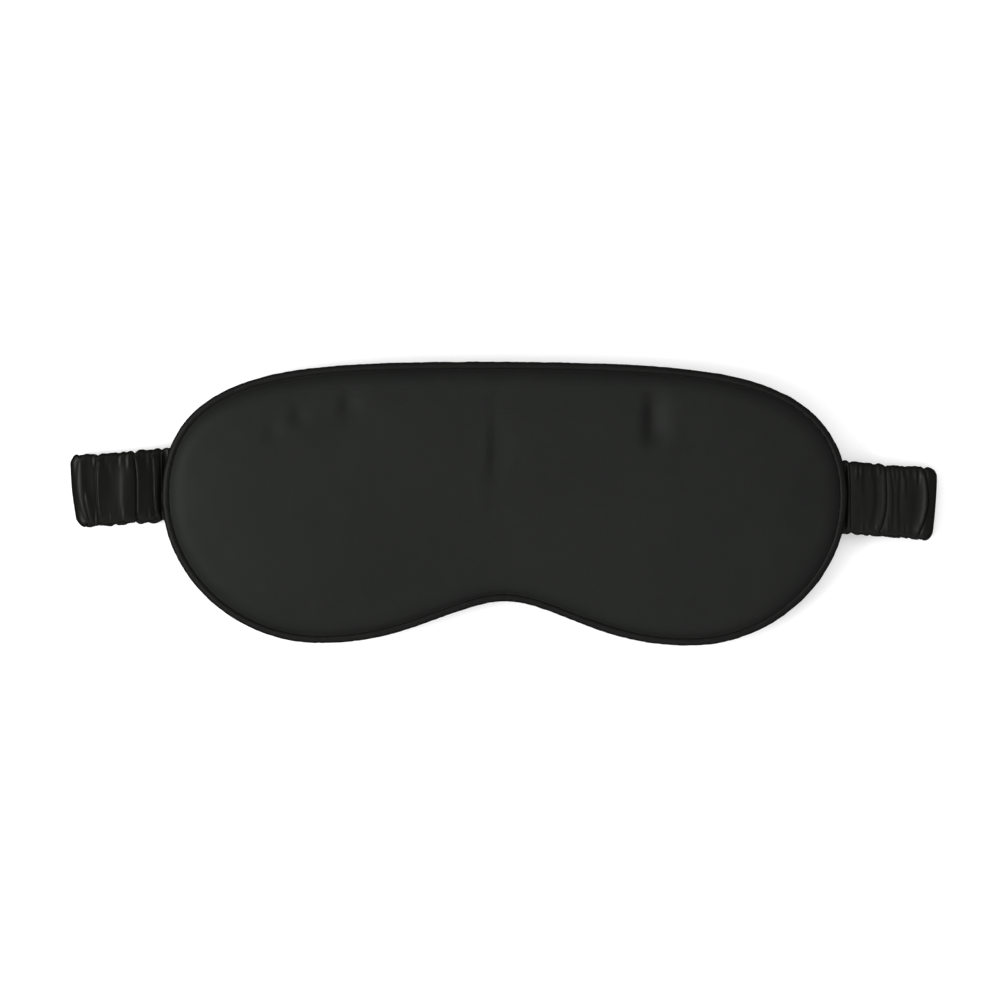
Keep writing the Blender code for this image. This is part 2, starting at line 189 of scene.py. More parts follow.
def face_outwards(ob):
    bm = bmesh.new()
    bm.from_mesh(ob.data)
    bmesh.ops.recalc_face_normals(bm, faces=bm.faces[:])
    bm.to_mesh(ob.data)
    bm.free()


def bridge(fine, coarse):
    """Faces between two closed loops of indices; the fine one is a whole multiple of the other."""
    ratio = len(fine) // len(coarse)
    faces = []
    for j in range(len(coarse)):
        coarse_here, coarse_next = coarse[j], coarse[(j + 1) % len(coarse)]
        for i in range(ratio):
            here, after = fine[j * ratio + i], fine[(j * ratio + i + 1) % len(fine)]
            if i == ratio // 2:
                faces.append((here, after, coarse_next, coarse_here))
            elif i < ratio // 2:
                faces.append((here, after, coarse_here))
            else:
                faces.append((here, after, coarse_next))
    return faces


def tube_faces(rows, around, closed=False):
    """Quads over rows of points, each row a closed loop; closed joins the last row to the first."""
    faces = []
    for i in range(rows if closed else rows - 1):
        here, after = i * around, ((i + 1) % rows) * around
        for j in range(around):
            k = (j + 1) % around
            faces.append((here + j, here + k, after + k, after + j))
    return faces


def disc_faces(rings, count, base=0):
    """Faces over nested rings of points that end in one centre point."""
    faces = [tuple(base + i for i in face) for face in tube_faces(rings, count)]
    last, tip = base + (rings - 1) * count, base + rings * count
    faces += [(last + j, last + (j + 1) % count, tip) for j in range(count)]
    return faces


def lens_mesh(flat, top, low, rings, count):
    """Vertices and faces of two discs over the same points, joined at the rim."""
    verts = np.concatenate([np.column_stack([flat, top]), np.column_stack([flat, low])])
    size = len(flat)
    faces = disc_faces(rings, count) + disc_faces(rings, count, size)
    for j in range(count):
        k = (j + 1) % count
        faces.append((j, k, size + k, size + j))
    return verts, faces


# ================================================================================
# pad outline
# ================================================================================
# Knots of the +x half: brow centre, shoulder, side, lobe and the nose notch's centre.
SHOULDER, SHOULDER_SLOPE = (62.6, 41.7), -0.138
SIDE_Y = 1.8
LOBE_X, NOTCH_Y = 57.6, -30.8
# Lengths of the Bezier handles at those knots.
H_TOP, H_SHOULDER_IN, H_SHOULDER_OUT = 29.1, 13.5, 26.8
H_SIDE_UP, H_SIDE_DOWN = 26.2, 23.6
H_LOBE_OUT, H_LOBE_IN, H_NOTCH = 28.7, 27.8, 14.3
AROUND = 1440               # points round the outline


def bezier(start, start_handle, end_handle, end, count=400):
    done = np.linspace(0, 1, count)[:, None]
    left = 1 - done
    return (
        left**3 * np.array(start) + 3 * left * left * done * np.array(start_handle)
        + 3 * left * done * done * np.array(end_handle) + done**3 * np.array(end)
    )


def closed_outline():
    """Evenly spaced points from the brow centre, clockwise seen from above, and their length."""
    length = math.hypot(1.0, SHOULDER_SLOPE)
    along_x, along_y = 1.0 / length, SHOULDER_SLOPE / length
    shoulder_x, shoulder_y = SHOULDER
    before = (shoulder_x - along_x * H_SHOULDER_IN, shoulder_y - along_y * H_SHOULDER_IN)
    after = (shoulder_x + along_x * H_SHOULDER_OUT, shoulder_y + along_y * H_SHOULDER_OUT)
    side, lobe = (HALF_WIDTH, SIDE_Y), (LOBE_X, BOTTOM_Y)
    parts = [
        bezier((0, TOP_Y), (H_TOP, TOP_Y), before, SHOULDER),
        bezier(SHOULDER, after, (HALF_WIDTH, SIDE_Y + H_SIDE_UP), side),
        bezier(side, (HALF_WIDTH, SIDE_Y - H_SIDE_DOWN), (LOBE_X + H_LOBE_OUT, BOTTOM_Y), lobe),
        bezier(lobe, (LOBE_X - H_LOBE_IN, BOTTOM_Y), (H_NOTCH, NOTCH_Y), (0, NOTCH_Y)),
    ]
    half = np.concatenate([part[:-1] for part in parts] + [parts[-1][-1:]])
    whole = np.concatenate([half, (half * [-1, 1])[::-1][1:]])
    # the nose notch is sewn a touch off centre
    whole[:, 0] += 0.4 * bell(whole[:, 1], -31.0, 13.0) * bell(whole[:, 0], 0.0, 34.0)
    steps = np.hypot(*np.diff(whole, axis=0).T)
    run = np.concatenate([[0], np.cumsum(steps)])
    wanted = np.linspace(0, run[-1], AROUND + 1)[:-1]
    return np.stack([np.interp(wanted, run, whole[:, k]) for k in (0, 1)], 1), run[-1]


def outward_normals(points):
    along = np.roll(points, -1, 0) - np.roll(points, 1, 0)
    along /= np.hypot(*along.T)[:, None]
    return np.stack([-along[:, 1], along[:, 0]], 1)


OUTLINE, PERIMETER = closed_outline()
OUTLINE_NORMAL = outward_normals(OUTLINE)
OUTLINE_RUN = np.arange(AROUND) * PERIMETER / AROUND


def depth_of(flat):
    """Distance in from the outline, for points inside it."""
    start = OUTLINE[::2]
    edge = np.roll(start, -1, 0) - start
    inverse = 1.0 / (edge**2).sum(1)
    depth = np.empty(len(flat))
    batch = 4000
    for i in range(0, len(flat), batch):
        reach = flat[i:i + batch][:, None] - start
        share = np.clip((reach * edge).sum(2) * inverse, 0, 1)
        gap = reach - share[:, :, None] * edge
        depth[i:i + batch] = np.sqrt((gap**2).sum(2).min(1))
    return depth


def pad_points(inset, ring_count, count):
    """Rings from an inset of the outline, close together at the rim, then the centre point."""
    skip = AROUND // count
    rim = OUTLINE[::skip] - OUTLINE_NORMAL[::skip] * inset
    reach = np.hypot(*(rim - CENTRE).T)
    step = np.arange(ring_count)[:, None] / ring_count
    even = np.clip(0.40 * ring_count / reach, 0, 0.8)[None, :]      # share of even spacing
    share = even * step + (1 - even) * step ** 2.1
    rings = rim[None] + (CENTRE - rim)[None] * share[:, :, None]
    return np.concatenate([rings.reshape(-1, 2), CENTRE[None]])


# ================================================================================
# pad surfaces
# ================================================================================
RISE_FRONT = FRONT_Z - (SEAM_Z + COVER_GAP)
RISE_BACK = (SEAM_Z - COVER_GAP) - BACK_Z
# height of the piping's roll where the covers' edges meet it, over the covers' own start
EDGE_LIFT = 0.05 + np.sqrt(PIPE_R**2 - (RIM_START - PIPE_R) ** 2) - COVER_GAP
broad_noise, middle_noise = Noise(11), Noise(12)
front_gathers, back_gathers = Noise(13), Noise(14)

# soft dents of the front panel: x, y, half height, depth, reach towards -x, reach towards +x
DENTS = (
    (-49.5, 31.0, 5.0, 0.85, 2.1, 4.6),
    (45.8, 28.5, 8.0, 1.85, 2.3, 6.0),
    (46.2, 22.5, 4.0, 0.55, 2.6, 5.0),
    (-3.2, 16.0, 12.5, 0.72, 2.0, 7.5),
    (-65.0, 26.5, 3.4, 0.48, 1.9, 3.4),
    (-73.0, 21.5, 3.4, 0.42, 1.9, 3.6),
    (-58.0, -6.0, 8.0, 0.22, 5.0, 9.0),
    (62.0, -4.0, 9.0, 0.22, 7.0, 8.0),
)
DENT_LEAN = 0.04            # x per y

SWELL = {}                  # face: (first x, first y, step, grid), filled by the cloth simulation


def roll_over(depth):
    """Share of the pad's rise reached at a depth: a quick roll at the rim, then a slow crown."""
    depth = np.maximum(depth, 0.0)
    return 0.60 * (1.0 - np.exp(-depth / ROLL_NEAR)) + 0.40 * (1.0 - np.exp(-depth / ROLL_FAR))


def along_outline(flat):
    """A seam coordinate for points near the rim, from their angle round the centre."""
    angle = np.arctan2(flat[:, 1] - CENTRE[1], flat[:, 0] - CENTRE[0])
    rim_angle = np.arctan2(OUTLINE[:, 1] - CENTRE[1], OUTLINE[:, 0] - CENTRE[0])
    order = np.argsort(rim_angle)
    return np.interp(angle, rim_angle[order], OUTLINE_RUN[order], period=2 * math.pi)


def seam_puckers(flat, depth, noise, amount):
    """Small radial gathers that start at the stitching and fade inwards."""
    run = along_outline(flat)
    wave = (
        0.55 * noise(run, depth, cell=(4.3, 14.0))
        + 0.45 * noise(run, depth, cell=(9.5, 20.0), shift=(20.0, 0))
        + 0.25 * noise(run, depth, cell=(2.2, 9.0), shift=(40.0, 0))
    )
    return amount * wave * np.exp(-np.maximum(depth - 3.0, 0) / 4.2)


def swell(face, flat):
    """How far the simulated filling moves a cover up or down at each point."""
    if face not in SWELL:
        return np.zeros(len(flat))
    first_x, first_y, step, grid = SWELL[face]
    x = np.clip((flat[:, 0] - first_x) / step, 0, grid.shape[0] - 1.001)
    y = np.clip((flat[:, 1] - first_y) / step, 0, grid.shape[1] - 1.001)
    return sample_lattice(grid, x, y)


def cover_base(flat, depth, face, up, rise, gathers, amount):
    """Height shared by both covers: the rise, the lip on the piping, the gathers and the swell."""
    z = SEAM_Z + up * COVER_GAP + up * rise * roll_over(depth - RIM_INSET + 0.5)
    z += up * EDGE_LIFT * np.exp(-np.maximum(depth - RIM_START, 0) / 0.30)
    puckers = seam_puckers(flat, depth, gathers, amount)
    z += puckers * ease(depth, RIM_START, RIM_START + 1.2) + swell(face, flat)
    return z


def front_height(flat, depth):
    x, y = flat[:, 0], flat[:, 1]
    z = cover_base(flat, depth, "front", 1, RISE_FRONT, front_gathers, amount=0.16)
    inner = ease(depth, 4.0, 14.0)
    z += inner * (
        0.16 * broad_noise(x, y, cell=(31.0, 19.0), shift=(3, 5))
        + 0.05 * middle_noise(x, y, cell=(11.0, 14.0), shift=(7, 0))
    )
    for dent_x, dent_y, half_height, dent_depth, reach_minus, reach_plus in DENTS:
        off_x = x - dent_x - DENT_LEAN * (y - dent_y)
        reach = np.where(off_x < 0, reach_minus, reach_plus)
        z -= dent_depth * bell(off_x, 0.0, reach) * bell(y, dent_y, half_height) * inner
    return z


def back_height(flat, depth):
    x, y = flat[:, 0], flat[:, 1]
    z = cover_base(flat, depth, "back", -1, RISE_BACK, back_gathers, amount=0.12)
    inner = ease(depth, 4.0, 14.0)
    z += inner * (
        0.14 * (1 + broad_noise(x, y, cell=(27.0, 21.0), shift=(33, 15)))
        + 0.05 * middle_noise(x, y, cell=(10.0, 13.0), shift=(27, 0))
    )
    # lower beside the strap's ends
    for word, side in SIDES:
        near = 1 - ease(np.abs(y - STRAP[word].tab_y), 10.0, 14.5)
        z -= 1.25 * near * ease(side * x, 96.0, 103.0)
    return z


# ---- simulated filling -------------------------------------------------------------
LAST_FRAME = 20
CLOTH_SETTINGS = dict(
    quality=6, mass=0.2, tension_stiffness=18, compression_stiffness=12, shear_stiffness=6,
    bending_stiffness=0.6, use_pressure=True, uniform_pressure_force=4.0,
    vertex_group_mass="seam",
)
SWELL_STEP = 1.6            # spacing of the grid the moves are kept on
SWELL_LIMIT = 1.3
SWELL_BLUR = 1.7


def vertex_values(mesh, field):
    values = np.empty(len(mesh.vertices) * 3)
    mesh.vertices.foreach_get(field, values)
    return values.reshape(-1, 3)


def evaluated(ob):
    return ob.evaluated_get(bpy.context.evaluated_depsgraph_get())


def make_bag(mat):
    """The stuffed pad as one closed, evenly meshed bag."""
    rings, count = 26, 180
    flat = pad_points(3.6, rings, count)
    depth = depth_of(flat)
    top, low = front_height(flat, depth) - 0.35, back_height(flat, depth) + 0.35
    bag = make_object("pad_bag_helper", *lens_mesh(flat, top, low, rings, count), mat)
    face_outwards(bag)
    remesh = bag.modifiers.new("remesh", "REMESH")
    remesh.mode = "VOXEL"
    remesh.voxel_size = 0.0026
    even = bpy.data.meshes.new_from_object(evaluated(bag))
    bag.modifiers.clear()
    old = bag.data
    bag.data = even
    bpy.data.meshes.remove(old)
    return bag


def inflate(bag, depth):
    """Runs the cloth, pinned at the seam, and returns where its points end up."""
    group = bag.vertex_groups.new(name="seam")
    for i, weight in enumerate(1 - ease(depth, 4.5, 8.5)):
        if weight > 0.01:
            group.add([i], float(weight), "REPLACE")
    cloth = bag.modifiers.new("cloth", "CLOTH")
    for key, value in CLOTH_SETTINGS.items():
        setattr(cloth.settings, key, value)
    cloth.settings.effector_weights.gravity = 0.0
    cloth.collision_settings.use_collision = False
    cloth.point_cache.frame_start, cloth.point_cache.frame_end = 1, LAST_FRAME
    scene = bpy.context.scene
    for number in range(1, LAST_FRAME + 1):
        scene.frame_set(number)
    final = evaluated(bag)
    end = vertex_values(final.to_mesh(), "co") * 1000.0
    final.to_mesh_clear()
    scene.frame_set(1)
    return end


def blurred(spots, where, value):
    """Gaussian average of scattered values at each spot."""
    result = np.empty(len(spots))
    batch = 500
    for i in range(0, len(spots), batch):
        distance2 = ((spots[i:i + batch, None] - where[None]) ** 2).sum(2)
        weight = np.exp(-distance2 / (2 * SWELL_BLUR**2)) + 1e-12
        result[i:i + batch] = (weight * value).sum(1) / weight.sum(1)
    return result


def simulate_filling():
    """Blows the stuffed pad up a little as cloth and keeps how far each face moved.

    The covers only add this to their height, so their fine mesh and seam stay as they are.
    """
    mat = bpy.data.materials.new("bag_helper")
    bag = make_bag(mat)
    mesh = bag.data
    start = vertex_values(mesh, "co") * 1000.0
    end = inflate(bag, depth_of(start[:, :2]))
    up = vertex_values(mesh, "normal")[:, 2]
    move = end[:, 2] - start[:, 2]
    move = np.where(np.isfinite(move), move, 0.0)

    first_x, first_y = -HALF_WIDTH - 2, BOTTOM_Y - 2
    grid_x, grid_y = np.meshgrid(
        np.arange(first_x, HALF_WIDTH + 3, SWELL_STEP),
        np.arange(first_y, TOP_Y + 3, SWELL_STEP), indexing="ij",
    )
    spots = np.stack([grid_x.ravel(), grid_y.ravel()], 1)
    inside = ease(depth_of(spots), 4.0, 9.0)
    found = {}
    for face, chosen in (("front", up > 0.35), ("back", up < -0.35)):
        value = move[chosen]
        value = value - np.median(value)
        value = SWELL_LIMIT * np.tanh(value / SWELL_LIMIT)
        grid = (blurred(spots, end[chosen][:, :2], value) * inside).reshape(grid_x.shape)
        found[face] = (first_x, first_y, SWELL_STEP, grid)
    SWELL.update(found)
    bpy.data.objects.remove(bag, do_unlink=True)
    bpy.data.meshes.remove(mesh)
    bpy.data.materials.remove(mat)


# ---- panels and wadding --------------------------------------------------------------
def panel(name, inset, height, thickness, up, mat, fine=(92, 720), coarse=(30, 144)):
    """A domed cloth panel: fine outer face, coarser inner face, closed at the rim.

    up: +1 or -1, the way the outer face looks; fine, coarse: rings and points per ring.
    """
    outer = pad_points(inset, *fine)
    outer_z = height(outer, depth_of(outer))
    inner = pad_points(inset, *coarse)
    depth = depth_of(inner)
    wall = 0.05 + (thickness - 0.05) * ease(depth, inset, inset + 1.2)      # thin at the rim
    inner_z = height(inner, depth) - up * wall
    verts = np.concatenate([
        np.column_stack([outer, outer_z]), np.column_stack([inner, inner_z])
    ])
    offset = len(outer)
    faces = disc_faces(*fine) + disc_faces(*coarse, offset)
    faces += bridge(range(fine[1]), range(offset, offset + coarse[1]))
    ob = make_object(name, verts, faces, mat, uv=verts[:, :2])
    face_outwards(ob)
    return ob


def pad_filling(name, mat):
    """The wadding: a closed lens between the covers, pinched at its rim."""
    rings, count, inset = 40, 240, 4.6
    flat = pad_points(inset, rings, count)
    depth = depth_of(flat)
    top = front_height(flat, depth) - 1.15
    low = back_height(flat, depth) + 0.55
    keep = 1 - 0.7 * np.exp(-(depth - inset) / 1.2)
    middle = (top + low) / 2
    top, low = middle + (top - middle) * keep, middle + (low - middle) * keep
    fuzz = 0.10 * Noise(31)(flat[:, 0], flat[:, 1], cell=(1.7, 1.7))
    verts, faces = lens_mesh(flat, top + fuzz, low + fuzz, rings, count)
    ob = make_object(name, verts, faces, mat, uv=verts[:, :2])
    face_outwards(ob)
    return ob


# ---- swept edge pieces ---------------------------------------------------------------
def swept_loop(name, section, mat, inset, shape):
    """Sweeps section points (out, up) round the outline; shape(run, out, up) moves them."""
    section = np.asarray(section, float)
    size = len(section)
    out = np.repeat(section[None, :, 0], AROUND, 0)
    up = np.repeat(section[None, :, 1], AROUND, 0)
    out, up = shape(OUTLINE_RUN[:, None], out, up)
    centre = OUTLINE - OUTLINE_NORMAL * inset
    flat = centre[:, None] + OUTLINE_NORMAL[:, None] * out[:, :, None]
    verts = np.concatenate([flat, (SEAM_Z + up)[:, :, None]], 2).reshape(-1, 3)
    girth = np.concatenate([[0], np.cumsum(np.hypot(*np.diff(section, axis=0).T))])
    uv = np.stack([np.repeat(OUTLINE_RUN, size), np.tile(girth, AROUND)], 1)
    ob = make_object(name, verts, tube_faces(AROUND, size, closed=True), mat, uv=uv)
    face_outwards(ob)
    return ob


def piping_section():
    """Cloth rolled round a cord, its two edges meeting in a flange that runs in under the covers."""
    half_wall = 0.14
    half_gap = 0.17                             # between the flange's middle and each layer
    flange = (-2.9, -2.3, -1.75)
    radius = PIPE_R - half_wall
    opening = math.asin(half_gap / radius) + math.radians(38)
    path = [(out, half_gap) for out in flange]
    for k in range(31):
        angle = math.pi - opening + (2 * opening - 2 * math.pi) * k / 30
        path.append((radius * math.cos(angle), radius * math.sin(angle)))
    path += [(out, -half_gap) for out in flange[::-1]]
    path = np.array(path)
    along = np.gradient(path, axis=0)
    along /= np.hypot(*along.T)[:, None]
    wall = np.stack([-along[:, 1], along[:, 0]], 1) * half_wall
    return np.concatenate([path + wall, (path - wall)[::-1]])


pipe_noise, twist_noise = Noise(21, 256), Noise(22, 256)


def piping_shape(run, out, up):
    """Slight unevenness: the roll swells, tightens and twists a little along its length."""
    angle = np.arctan2(up, out)
    radius = np.hypot(out, up)
    on_roll = ease(radius, 0.9, 1.1) * (out > -1.6)
    lump = 0.055 * pipe_noise(run, 0, cell=(5.3, 1))
    lump = lump + 0.03 * pipe_noise(run, 0, cell=(2.1, 1), shift=(30, 7))
    twist = 0.045 * twist_noise(run + 1.5 * angle, angle * 0.9, cell=(1.15, 1), shift=(0, 4))
    ridge = twist_noise(run - 1.1 * angle, angle * 0.35, cell=(2.4, 1), shift=(50, 9))
    crease = -0.09 * np.maximum(ridge - 0.35, 0)
    scale = 1 + on_roll * (lump + twist + crease) / np.maximum(radius, 0.5)
    sway = 0.10 * pipe_noise(run, 0, cell=(17.0, 1), shift=(60, 3))
    lift = 0.10 * pipe_noise(run, 0, cell=(23.0, 1), shift=(90, 5))
    return out * scale + np.minimum(sway, 0.0), up * scale + lift


def cord_shape(run, out, up):
    """Rounded strands that wind round the cord."""
    angle = np.arctan2(up, out)
    radius = 0.82 + 0.075 * np.abs(np.sin(1.5 * angle + run * 2 * math.pi / 3.1))
    return radius * np.cos(angle), radius * np.sin(angle)


def thread_shape(run, out, up):
    """200 up-and-down stitches round the pad."""
    return out, up + 0.42 * np.sin(run * 2 * math.pi / (PERIMETER / 200))


# ================================================================================
# strap centre line and section
# ================================================================================
def strap_y_low(x):
    return LINE_Y + SLANT * x


def top_x(run):
    """x of the centre line on the upper layer."""
    return TURN_X - (run - TURN_END)


def top_run(x):
    """Distance along the strap of an x on the upper layer."""
    return TURN_END + (TURN_X - x)


def from_fold(distance):
    """Distance along the strap of a place on the tab, measured from the fold's outer edge."""
    return TURN_END + TURN_X - FOLD_EDGE + distance


def strap_path(run):
    """Centre line (x, z) of a half strap, for +x, and its unit tangent."""
    bend = np.clip((run - TURN_START) / TURN_R, 0, math.pi)
    back_x = top_x(run)
    rise = ease(run, TURN_START - 9.0, TURN_START)
    low_z = LOW_C + (MID_Z - TURN_R - LOW_C) * rise
    sink = 1 - ease(run, TURN_END, TURN_END + 9.0)
    high_z = HIGH_Z + (MID_Z + TURN_R - HIGH_Z) * sink
    # the tab climbs on to the pad's edge
    climb = 0.85 * ease(-back_x, -107.4, -104.7) + 1.55 * ease(-back_x, -105.7, -103.6)
    parts = [run < TURN_START, run <= TURN_END]
    x = np.select(parts, [run, TURN_X + TURN_R * np.sin(bend)], back_x)
    z = np.select(parts, [low_z, MID_Z - TURN_R * np.cos(bend)], high_z + climb)
    along_x, along_z = np.gradient(x, run), np.gradient(z, run)
    length = np.hypot(along_x, along_z)
    return x, z, along_x / length, along_z / length


def strap_half_thickness(run):
    """Thinner round the fold and again where the tab is sewn down."""
    into_fold = ease(run, TURN_START - 8.0, TURN_START - 1.0)
    past_fold = ease(run, TURN_END + 1.0, TURN_END + 8.0)
    x = top_x(run)
    half = HALF_T - 0.27 * into_fold * (1 - past_fold)
    return half - 0.62 * ease(-x, -109.0, -105.6) - 0.22 * ease(-x, -105.6, -103.9)


def strap_section():
    """Unit section, one row per point: place across the width (-1..1), face (1 on the outer
    face, -1 on the inner one) and bulge (how far out on the rounded edge)."""
    widest = math.pi / 2 * 0.94
    line = np.sin(np.linspace(-math.pi / 2, math.pi / 2, 31) * 0.94) / math.sin(widest)
    turns = [math.pi * k / 10 for k in range(1, 10)]
    points = [(across, 1.0, 0.0) for across in line]
    points += [(1.0, math.cos(turn), math.sin(turn)) for turn in turns]
    points += [(across, -1.0, 0.0) for across in line[::-1]]
    points += [(-1.0, -math.cos(turn), math.sin(turn)) for turn in turns]
    return np.array(points)


# ================================================================================
# strap gathers
# ================================================================================
@dataclass
class Tuck:
    """One gathered crease across the strap."""

    at: float                   # distance along the strap
    depth: float
    lean: float = 1.0           # which side of the line stands up
    top: float = 0.0            # shift of the line at the +y edge
    low: float = 0.0            # shift of the line at the -y edge
    bow: float = 0.0            # shift in the middle
    crest: float = 2.0          # how far the raised side reaches
    soft: float = 0.24          # half width of the step
    span: tuple = None          # part of the width it covers, in -1..1
    shift: float = 0.0          # extra shift in the middle of the inner face

    def line(self, across, far):
        above, below = np.maximum(across, 0), np.maximum(-across, 0)
        middle = 1 - across * across
        return (
            self.at + self.top * above**2 + self.low * below**2
            + self.bow * middle + self.shift * far * middle
        )

    def strength(self, across):
        if self.span is None:
            return self.depth
        start, end = self.span
        rise = ease(across, start - 0.25, start + 0.25)
        return self.depth * rise * (1 - ease(across, end - 0.25, end + 0.25))


TAB_TUCKS = {
    "left": (
        Tuck(from_fold(2.1), 1.05, crest=1.2, top=0.9, low=1.1, soft=0.85),
        Tuck(from_fold(3.7), 0.55, crest=1.5, low=1.3, span=(-1.6, -0.1), soft=0.4),
        Tuck(from_fold(7.6), 0.75, crest=2.2, top=0.5, low=0.6),
        Tuck(from_fold(11.6), 0.20, crest=2.0, span=(0.55, 1.6), top=-0.8, soft=0.6),
        Tuck(from_fold(14.8), 0.52, crest=2.6, soft=1.3, top=-0.4, low=0.5),
        Tuck(from_fold(17.2), 0.24, crest=1.5, span=(0.6, 1.6), soft=0.6, top=-0.5),
        Tuck(from_fold(20.4), 1.25, crest=2.0, top=-1.0),
        Tuck(from_fold(23.6), 0.24, crest=1.2, span=(0.6, 1.6), top=-0.6, soft=0.5),
        Tuck(from_fold(25.5), 0.95, crest=1.6, top=-0.7, low=0.8),
        Tuck(from_fold(28.0), 0.80, crest=1.4, top=-0.3, low=0.3),
        Tuck(from_fold(30.2), 0.60, crest=1.4),
    ),
    "right": (
        Tuck(from_fold(0.7), 0.35, crest=1.0, low=1.0, top=0.5),
        Tuck(from_fold(2.8), 0.85, crest=1.6, top=1.4, low=2.5),
        Tuck(from_fold(6.9), 0.35, crest=2.6, soft=0.8, span=(-1.6, 0.1), low=1.0),
        Tuck(from_fold(9.4), 0.45, crest=1.6, span=(0.3, 1.6), top=0.5),
        Tuck(from_fold(11.8), 0.45, crest=1.8, top=-0.4, low=-0.4, soft=0.35),
        Tuck(from_fold(13.6), 0.45, crest=1.6, top=0.9, low=0.3, soft=0.35),
        Tuck(from_fold(15.8), 0.95, crest=2.0, top=0.3, low=1.9),
        Tuck(from_fold(19.0), 0.55, crest=2.6, soft=0.6, top=0.3, low=2.0),
        Tuck(from_fold(22.9), 0.35, crest=2.2, span=(0.2, 1.6), soft=0.5),
        Tuck(from_fold(27.1), 0.75, crest=1.4, top=0.2, low=-0.2),
        Tuck(from_fold(29.6), 0.60, crest=1.4),
    ),
}


def hidden_tucks(word):
    """Gathers along the rest of the strap.  The order of the random draws sets the result."""
    rng = np.random.default_rng(STRAP[word].tuck_seed)
    tucks, at = [], 1.6
    while at < from_fold(0.0) - 1.0:
        tucks.append(Tuck(
            at,
            depth=rng.uniform(0.45, 1.15),
            lean=1.0 if rng.random() < 0.8 else -1.0,
            top=rng.uniform(-1.2, 1.2),
            low=rng.uniform(-1.2, 1.2),
            bow=rng.uniform(-0.5, 0.5),
            crest=rng.uniform(1.2, 2.8),
            soft=rng.uniform(0.24, 0.55),
            shift=rng.uniform(-0.8, 0.8),
        ))
        if rng.random() < 0.55:         # a short one beside it, from one edge only
            at_top = rng.random() < 0.5
            tucks.append(Tuck(
                at + rng.uniform(1.2, 2.6),
                depth=rng.uniform(0.2, 0.5),
                top=rng.uniform(-0.8, 0.8),
                low=rng.uniform(-0.8, 0.8),
                crest=rng.uniform(1.0, 1.8),
                span=(rng.uniform(0.1, 0.6), 1.6) if at_top else (-1.6, rng.uniform(-0.6, -0.1)),
            ))
        at += rng.uniform(2.4, 6.4)
    return tucks


def add_tucks(word, grid, relief):
    """Adds the large creases."""
    for tuck in list(TAB_TUCKS[word]) + hidden_tucks(word):
        near = np.where(np.abs(grid.run - tuck.at) < 12)[0]
        if not len(near):
            continue
        cols = slice(near[0], near[-1] + 1)
        across, calm = grid.across[cols], grid.calm[cols]
        off = (grid.along[cols] - tuck.line(across, grid.far[cols])) * tuck.lean
        strength = tuck.strength(across)
        amount = strength * grid.fade_end[cols]
        step = 0.5 * (1 + np.tanh(off / tuck.soft))
        crest = 0.86 * np.exp(-np.maximum(off, 0) / tuck.crest)
        valley = -0.70 * np.exp(np.minimum(off, 0) / 0.95)
        relief.face[cols] += calm * amount * (step * crest + (1 - step) * valley)
        if tuck.soft < 0.35:            # a sharp lip
            relief.face[cols] += calm * strength * 0.16 * bell(off, 0.45, 0.40)
        if tuck.soft < 0.5:             # the crest hangs over its valley
            relief.drag[cols] += -tuck.lean * amount * 0.42 * bell(off, 0.25, 0.45)
        relief.edge[cols] -= amount * 0.70 * bell(off, -0.1, 0.66)
        relief.edge[cols] += amount * 0.22 * bell(off, 1.7, 1.3)


def add_surface_noise(word, grid, relief):
    """Adds the cloth's general unevenness."""
    noise = Noise(STRAP[word].surface_seed, 128)
    along, across = grid.along, grid.across
    broad = noise(along, across * 1.1, cell=(3.6, 1), shift=(0, 9))
    fine = noise(along, across * 1.2, cell=(1.2, 1), shift=(50, 3))
    relief.face += 0.15 * grid.calm * broad + 0.04 * fine * np.abs(across)
    broad = noise(along, across * 0.9 + grid.far, cell=(4.7, 1), shift=(20, 31))
    fine = noise(along, across, cell=(1.3, 1), shift=(70, 45))
    relief.edge += 0.30 + 0.20 * broad + 0.08 * fine


def add_edge_gathers(word, grid, relief):
    """Adds fine gathers that start at both edges and fade towards the middle."""
    rng = np.random.default_rng(STRAP[word].gather_seed)
    for sign in (-1, 1):
        at = 0.8
        while at < RUN_END - 6:
            cols = slice(*np.searchsorted(grid.run, (at - 2.5, at + 2.5)))
            across = grid.across[cols]
            off = grid.along[cols] - at - rng.uniform(-0.6, 0.6) * (1 - np.abs(across))
            fade = ease(sign * across, rng.uniform(0.35, 0.75), 1.0)
            amount = rng.uniform(0.08, 0.24)
            ridge = 0.7 * bell(off, 0.0, 0.42) - 0.9 * bell(off, -0.75, 0.4)
            relief.face[cols] += amount * fade * ridge
            relief.edge[cols] -= 0.6 * amount * fade * bell(off, -0.7, 0.45)
            at += rng.uniform(1.8, 5.2)


def limit_face_relief(grid, face):
    """Quietens the hidden places and keeps the relief within the cloth's thickness."""
    along, far = grid.along, grid.far
    face = face * (1 - 0.5 * far)                      # quieter on the inner face
    face = face * (1 - 0.85 * grid.at_fold)            # what meets inside the fold lies smooth
    face = np.maximum(1.05 * np.tanh(face / 1.05), -0.78)
    low_layer = along < TURN_START - 2
    face = np.where(low_layer & (far > 0.5), np.minimum(face, 0.28), face)
    turning = (along > TURN_START - 1) & (along < TURN_END + 1)
    return np.where(turning & (far > 0.5), face * 0.5, face)


